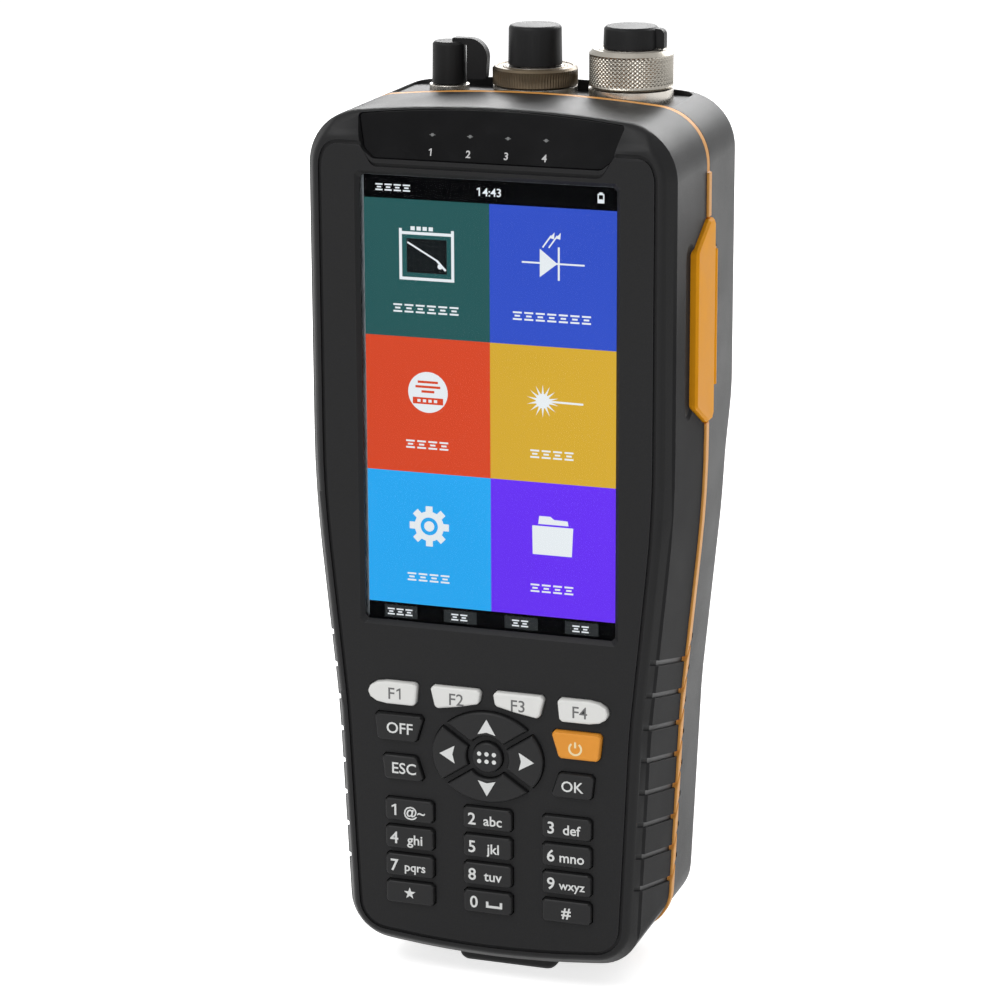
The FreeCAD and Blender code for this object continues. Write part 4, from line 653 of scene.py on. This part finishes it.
# ---------------------------------------------------------------- status lens
# Smoked acrylic bonded on the shoulder; four small windows are left in its black print, with
# numerals under them, and a diode stands behind each.
lens_black = finish("lens_black", (0.005, 0.005, 0.0055), 0.16, moulded(6.0, 0.01, 0.15),
                    Specular_IOR_Level=0.07)
moulding("indicator_lens", 0.18, lens_black, "lens_black", segments=3)
lens_low, shoulder_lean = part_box("indicator_lens")[0], radians(20.4)
lens_foot = (0, lens_low.y / mm, lens_low.z / mm)
lens_up = (0, sin(shoulder_lean), cos(shoulder_lean))
lens_out = (0, -cos(shoulder_lean), sin(shoulder_lean))
lens_axes = ((1, 0, 0), lens_up, lens_out)
print_grey = finish("print_grey", (0.5, 0.5, 0.5), 0.5, rubbery(0.2, 0.05))
led_dim = finish("led_window", (0.10, 0.105, 0.105), 0.35, rubbery(0.3, 0.05))
window_up, numeral_up, numeral_size, print_high = 5.3, 1.75, 1.5, 0.02
figures, windows, marks = 0, 1, []
for number, x in enumerate((-12.0, -4.0, 4.0, 12.0), 1):
    marks.append((plate(disc(x, window_up, 0.34, 24), 0.0, print_high), windows))
    slit = bar(x - 0.62, x + 0.62, window_up - 0.06, window_up + 0.06)
    marks.append((plate(slit, 0.0, 0.015), windows))
    where = (numeral_size, x, numeral_up, 0.0, print_high)
    marks.append((figure_one(*where) if number == 1 else lettering(str(number), *where, 0.02), figures))
marks = [(placed(shape, lens_foot, lens_axes), tint) for shape, tint in marks]
assembled("lens_print", marks, [print_grey, led_dim], "case", "lens_black")
board_parts = finish("led_board", (0.62, 0.6, 0.52), 0.4, moulded(0.3, 0.1))
dress("status_leds", board_parts)

# ---------------------------------------------------------------- keypad
# One silicone mat carries the contact pads. Each hard-coated key stands in its own hole; the
# legends are printed on the tops: white on black, dark on the light function keys.
key_looks = {
    "black": finish("key_black", (0.014, 0.014, 0.0145), 0.42, rubbery(0.3, 0.2, 0.12),
                    Specular_IOR_Level=0.2),
    "white": finish("key_white", (0.72, 0.72, 0.70), 0.42, rubbery(0.3, 0.1, 0.05)),
    "orange": finish("key_orange", (0.76, 0.30, 0.035), 0.42, rubbery(0.3, 0.12, 0.06),
                     Specular_IOR_Level=0.25),
}
inks = {"black": ("print_white", (0.70, 0.71, 0.70)), "white": ("print_dark", (0.12, 0.12, 0.12)),
        "orange": ("print_pale", (0.85, 0.72, 0.42))}
inks = {shade: finish(*ink, 0.5, rubbery(0.15, 0.1, 0.1)) for shade, ink in inks.items()}
letters_under = {"1": "@~", "2": "abc", "3": "def", "4": "ghi", "5": "jkl", "6": "mno",
                 "7": "pqrs", "8": "tuv", "9": "wxyz"}
letter_sizes = {"hash": (2.4, 0.022), "ok": (2.35, 0.01), "off": (2.45, 0.01), "esc": (2.45, 0.01)}
aims = {"up": 0, "left": pi / 2, "down": pi, "right": -pi / 2}
sunk = 0.03     # the print stands this high, on key tops lowered by as much


def arrow(x, y, aim):
    """Arrow head turned by an angle from upright."""
    head = np.array([(0, -1.0), (1.95, -1.5), (0, 1.85), (-1.95, -1.5)])
    c, s = cos(aim), sin(aim)
    return head @ np.array([(c, s), (-s, c)]) + np.array([x, y])


def legend(name, x, y):
    """Shapes of one key's print, round the middle of its top."""
    def written(words, height, x, y, weight=0.014):
        return lettering(words, height, x, y, 0, sunk, weight)

    def flat(outlines):
        return [plate(outline, 0, sunk) for outline in outlines]

    if name in letters_under:
        words = letters_under[name]
        figure = (figure_one(2.5, x - 3.2, y, 0, sunk, 0.17) if name == "1"
                  else written(name, 2.65, x - 3.35, y))
        return [figure, written(words, 1.95 if len(words) > 3 else 2.2, x + 1.25, y - 0.2)]
    if name == "0":
        foot = bar(x - 0.3, x + 3.3, y - 1.1, y - 0.55)
        walls = [bar(x + k, x + k + 0.55, y - 0.55, y + 0.3) for k in (-0.3, 2.75)]
        return [written(name, 2.65, x - 3.0, y)] + flat([foot] + walls)
    if name == "star":
        return flat([star(x, y, 0.55, 1.35, 5)])
    if name in aims:
        return flat([arrow(x, y, aims[name])])
    if name == "menu":
        spots = [(x + i * 1.62, y + k * 0.82) for i in (-1, 0, 1) for k in (-1, 1)]
        return flat([disc(*spot, 0.47, 20) for spot in spots])
    if name == "power":
        turn = np.linspace(radians(128), radians(412), 40)
        rim, y = np.column_stack([np.cos(turn), np.sin(turn)]), y - 0.5
        arc = np.concatenate([rim * 1.08, rim[::-1] * 1.5])[::-1] + np.array([x, y])
        return flat([arc, bar(x - 0.21, x + 0.21, y + 0.2, y + 1.5)])
    words = "#" if name == "hash" else name.upper()
    height, weight = letter_sizes.get(name, (2.6, 0.006))
    if name == "f1":
        figure = figure_one(height * 0.93, x + 1.0, y, 0, sunk, 0.14)
        return [written("F", height, x - 0.75, y, weight), figure]
    return [written(words, height, x, y, weight)]


# how far the print stands to the right of the middle of the key
nudge = {"f1": 0.6, "f2": 0.3, "f4": -0.5, "off": 0.3, "esc": 0.4, "power": -0.2, "left": -0.3,
         "right": 0.3}
shades = {"f1": "white", "f2": "white", "f3": "white", "f4": "white", "power": "orange"}
for node in [n for n in frame["nodes"] if n.startswith("key_")]:
    name = node[4:]
    shade = shades.get(name, "black")
    key = moulding(node, 0.24, key_looks[shade], "key_" + shade, segments=3)
    co = np.empty(len(key.data.vertices) * 3)
    key.data.vertices.foreach_get("co", co)
    co = co.reshape(-1, 3)
    top = co[:, 1] < co[:, 1].min() + 1e-6
    co[top, 1] += sunk * mm
    key.data.vertices.foreach_set("co", co.ravel())
    x, z = ((co[top, k].min() + co[top, k].max()) / 2 / mm for k in (0, 2))
    y = co[top, 1].mean() / mm
    shapes = legend(name, x + nudge.get(name, 0.0), z)
    shapes = [(placed(shape, (0, y, 0), ON_FACE), 0) for shape in shapes]
    body = frame["nodes"][node]["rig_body"]
    assembled(node + "_print", shapes, [inks[shade]], body, "key_" + shade)

rubber_black = finish("rubber_black", (0.009, 0.009, 0.0095), 0.6, rubbery(0.25, 0.3, 0.15),
                      Specular_IOR_Level=0.3)
dress("keypad_mat", rubber_black)

# ---------------------------------------------------------------- boards and modules
# Green coated boards behind the face; the optics sit in plated cans that carry the ports.
def circuit(start, colour, rough):
    """Solder mask over copper: tracks are bands of stretched cells, pads a lighter speck."""
    spot = start.node("ShaderNodeTexCoord", out=3)

    def cells(kind, scale):
        return start.node("ShaderNodeTexVoronoi", {"distance": kind}, {"Vector": spot, "Scale": scale})

    tracks = cells("CHEBYCHEV", 420.0) > 0.42
    pads = (cells("MANHATTAN", 1300.0) < 0.12) * 0.8
    tint = tracks.blend(colour, tone(colour, 1.9))
    tint = pads.blend(tint, (0.55, 0.45, 0.22, 1.0))
    return {"Base Color": tint, "Roughness": rough + pads * 0.1, "Normal": bumped(tracks, 0.2)}


board_green = finish("board_green", (0.014, 0.11, 0.045), 0.3, circuit, Coat_Weight=0.4)
for node in ("keypad_board", "main_board", "io_board"):
    dress(node, board_green)
for node in ("otdr_module", "vfl_module", "opm_module"):
    dress(node, can_metal)

# ---------------------------------------------------------------- optical ports
# Turned and nickel-plated bodies on a sunk panel: a plain flange, a neck and a slotted nose with
# a ceramic sleeve. The detector's ring is dull bronze, the reflectometer's nut is knurled.
turned = plated(0.3, 0.12, (1, 1, 9), 0.2)
nickel = finish("nickel", (0.62, 0.585, 0.53), 0.28, turned, Metallic=1.0)
bronze = finish("bronze", (0.125, 0.098, 0.066), 0.36, plated(0.3, 0.2, (1, 1, 9), 0.35), Metallic=1.0)
ceramic = finish("ceramic", (0.78, 0.77, 0.72), 0.25, rubbery(0.2, 0.03, 0.04))
moulding("connector_panel", 0.12, shell_black, "shell_black")
for node in ("vfl_port", "opm_port", "otdr_port"):
    moulding(node, 0.12, nickel, "nickel")
    low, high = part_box(node)
    seat = ((low.x + high.x) / 2 / mm, (low.y + high.y) / 2 / mm, high.z / mm - 0.12)
    sleeve = lathe([(1.25, -3.0), (1.85, -3.0), (1.85, 0.05), (1.7, 0.12), (1.3, 0.12)], 48, None, True)
    assembled(node + "_sleeve", [(placed(sleeve, seat, UPRIGHT), 0)], [ceramic], "case", "nickel")


def wave(phase):
    """Triangle wave from 0 to 1 and back over one turn of the phase."""
    return 1 - np.abs((phase % 1.0) * 2 - 1)


def knurled(node, look, slot, relief, columns, rows, chamfer):
    """Ring with flat ends: its section is walked from the bore round the outside and back,
    and relief(turn, share, height) is taken off the outer wall, share going 0 to 1 up it."""
    low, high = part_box(node)
    radius, height = (high.x - low.x) / 2 / mm, (high.z - low.z) / mm
    bore, step, lip = 6.05, 0.15, radius - chamfer
    wall = np.linspace(chamfer / 2, height - chamfer, rows)
    section = [(bore, step), (bore + step, 0.0), (radius - chamfer / 2, 0.0)]
    first = len(section)
    section += [(radius, h) for h in wall]
    section += [(lip, height), (lip - 0.5, height), (lip - 0.65, height - step)]
    section += [(bore + 0.75, height - step), (bore + 0.6, height)]
    section += [(bore + step, height), (bore, height - step)]

    def cut(turn, z, row):
        share = (z - wall[0]) / (wall[-1] - wall[0])
        on_wall = (row >= first) & (row < first + rows)
        fade = np.clip(share / 0.05, 0, 1) * np.clip((1 - share) / 0.05, 0, 1)
        return np.where(on_wall, -relief(turn, share, height) * fade, 0.0)
    shape = lathe(section, columns, cut, True)
    centre = ((low.x + high.x) / 2 / mm, (low.y + high.y) / 2 / mm, low.z / mm)
    body = frame["nodes"][node]["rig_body"]
    assembled(node + "_made", [(placed(shape, centre, UPRIGHT), 0)], [look], body, slot, [node])


def fine_teeth(turn, share, height):
    """Upright teeth round the ring."""
    count, depth = 90, 0.16
    return depth * wave(turn * count / (2 * pi))


def diamonds(turn, share, height):
    """Two crossing sets of grooves, one a millimetre, leave rows of small pyramids."""
    count, depth = 56, 0.26
    around, climb = turn * count / (2 * pi), share * height
    return depth * np.maximum(wave(around + climb), wave(around - climb))


knurled("opm_ring", bronze, "bronze", fine_teeth, 540, 5, 0.5)
nut_plate = finish("nut_nickel", (0.39, 0.365, 0.32), 0.33, turned, Metallic=1.0)
knurled("otdr_nut", nut_plate, "nickel", diamonds, 448, 56, 0.9)

# ---------------------------------------------------------------- dust caps
# Soft black caps moulded over the noses, with a pull tab or a lug on the side.
cap_rubber = finish("cap_rubber", (0.0105, 0.0105, 0.011), 0.46, rubbery(0.4, 0.2, 0.18),
                    Specular_IOR_Level=0.15)
for node in ("vfl_cap", "opm_cap", "otdr_cap"):
    moulding(node, 0.3, cap_rubber, "rubber_black", segments=3)

# ---------------------------------------------------------------- side sockets and cover
# Charging and data sockets on a small board, under a soft orange cover that hinges on a bead.
cover_orange = finish("cover_orange", (0.92, 0.37, 0.011), 0.5, rubbery(0.35, 0.12),
                      Specular_IOR_Level=0.06)
moulding("side_cover", 0.45, cover_orange, "rubber_orange", segments=3)
moulding("side_cover_anchor", 0.12, rubber_orange, "rubber_orange")
socket_metal = finish("socket_metal", (0.6, 0.6, 0.61), 0.3, plated(0.4, 0.1), Metallic=1.0)
for node in ("usb_socket", "micro_usb_socket"):
    moulding(node, 0.08, socket_metal, "steel")
jack_black = finish("jack_black", (0.016, 0.016, 0.017), 0.4, moulded(0.3, 0.15))
moulding("dc_jack", 0.08, jack_black, "shell_black")

# ---------------------------------------------------------------- battery and door
# Two cells in one shrink sleeve on spring contacts, behind a ribbed door held by four screws.
cell_sleeve = finish("cell_sleeve", (0.012, 0.045, 0.22), 0.3, moulded(3.0, 0.1, 0.1), Coat_Weight=0.3)
moulding("battery_pack", 0.1, cell_sleeve, "cell_sleeve")
dress("battery_contacts", nickel)
moulding("battery_door", 0.2, shell_black, "shell_black")
low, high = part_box("door_screws")
blank = head_radius * cos(radians(22.5))    # half the width of the solid's eight-sided head
door_x, door_z = high.x / mm - blank, (low.z / mm + blank, high.z / mm - blank)
screws("door_screws", [(s * door_x, z) for z in door_z for s in (1, -1)], "battery_door_body")

# ---------------------------------------------------------------- foot
# Hard rubber block set in the bottom end; the instrument stands on it.
moulding("bottom_foot", 0.4, rubber_black, "rubber_black", segments=3)

# ---------------------------------------------------------------- studio
# A pale floor and three large soft lamps; the camera stands to the right of the object.
floor_half = 6.0
corners = [(x, y, cad_box[0].z) for x, y in bar(-floor_half, floor_half, -floor_half, floor_half)]
floor_mesh = bpy.data.meshes.new("floor")
floor_mesh.from_pydata(corners, [], [(0, 1, 2, 3)])
floor = bpy.data.objects.new("floor", floor_mesh)
bpy.context.scene.collection.objects.link(floor)


def seen_by(start):
    """1 for what the eye sees straight, in metal or through glass, 0 for the light of the room."""
    rays = [start.node("ShaderNodeLightPath", out=k) for k in (0, 3, 6)]
    return rays[0].maths("MAXIMUM", rays[0], rays[1].maths("MAXIMUM", rays[1], rays[2]))


floor_look = bpy.data.materials.new("floor")
start = cleared(floor_look)
paper = start.node("ShaderNodeBsdfDiffuse", None, {"Color": (0.84, 0.84, 0.84, 1)})
strength = seen_by(start) * 0.72
glow = start.node("ShaderNodeEmission", None, {"Color": (1, 1, 1, 1), "Strength": strength})
start.node("ShaderNodeAddShader", None, {0: paper, 1: glow}).shown()
floor_mesh.materials.append(floor_look)

world = bpy.data.worlds.new("studio")
bpy.context.scene.world = world
start = cleared(world)
room = start.node("ShaderNodeBackground", None, {"Color": (1, 1, 1, 1), "Strength": 0.4})
card = start.node("ShaderNodeBackground", None, {"Color": (1, 1, 1, 1), "Strength": 1.0})
both = start.node("ShaderNodeMixShader", None, {0: seen_by(start), 1: room, 2: card})
both.shown("ShaderNodeOutputWorld")


def lamp(name, place, aim, size, watts):
    """A rectangular soft box at place, turned towards aim."""
    light = bpy.data.lights.new(name, "AREA")
    light.shape, light.size, light.size_y, light.energy = "RECTANGLE", size[0], size[1], watts
    holder = bpy.data.objects.new(name, light)
    holder.location = place
    holder.rotation_mode = "QUATERNION"
    holder.rotation_quaternion = (Vector(aim) - Vector(place)).to_track_quat("-Z", "Y")
    bpy.context.scene.collection.objects.link(holder)


lamp("key_light", (-0.4, -0.85, 1.15), (0, 0, 0.12), (0.6, 0.6), 9)
lamp("fill_light", (0.25, -1.5, 0.5), (0, 0, 0.1), (1.0, 0.8), 3)
lamp("top_light", (0.0, 1.0, 0.7), (0, 0, 0.18), (1.2, 0.5), 14)

eye = bpy.data.cameras.new("camera")
eye.sensor_width, eye.lens = 36.0, 128.06046
eye.clip_start, eye.clip_end = 0.01, 20.0
azimuth, elevation, roll = radians(18.728), radians(15.35), radians(-0.25)
level, rise = cos(elevation), sin(elevation)
back = np.array([sin(azimuth) * level, -cos(azimuth) * level, rise])
right = np.array([cos(azimuth), sin(azimuth), 0.0])
aimed = Matrix(np.column_stack([right, np.cross(back, right), back]).tolist()).to_4x4()
camera = bpy.data.objects.new("camera", eye)
stand = Matrix.Translation((0.227868, -0.689232, 0.299528))
camera.matrix_world = stand @ (aimed @ Matrix.Rotation(roll, 4, "Z"))
bpy.context.scene.collection.objects.link(camera)
bpy.context.scene.camera = camera
bpy.context.scene.view_settings.view_transform = "Standard"
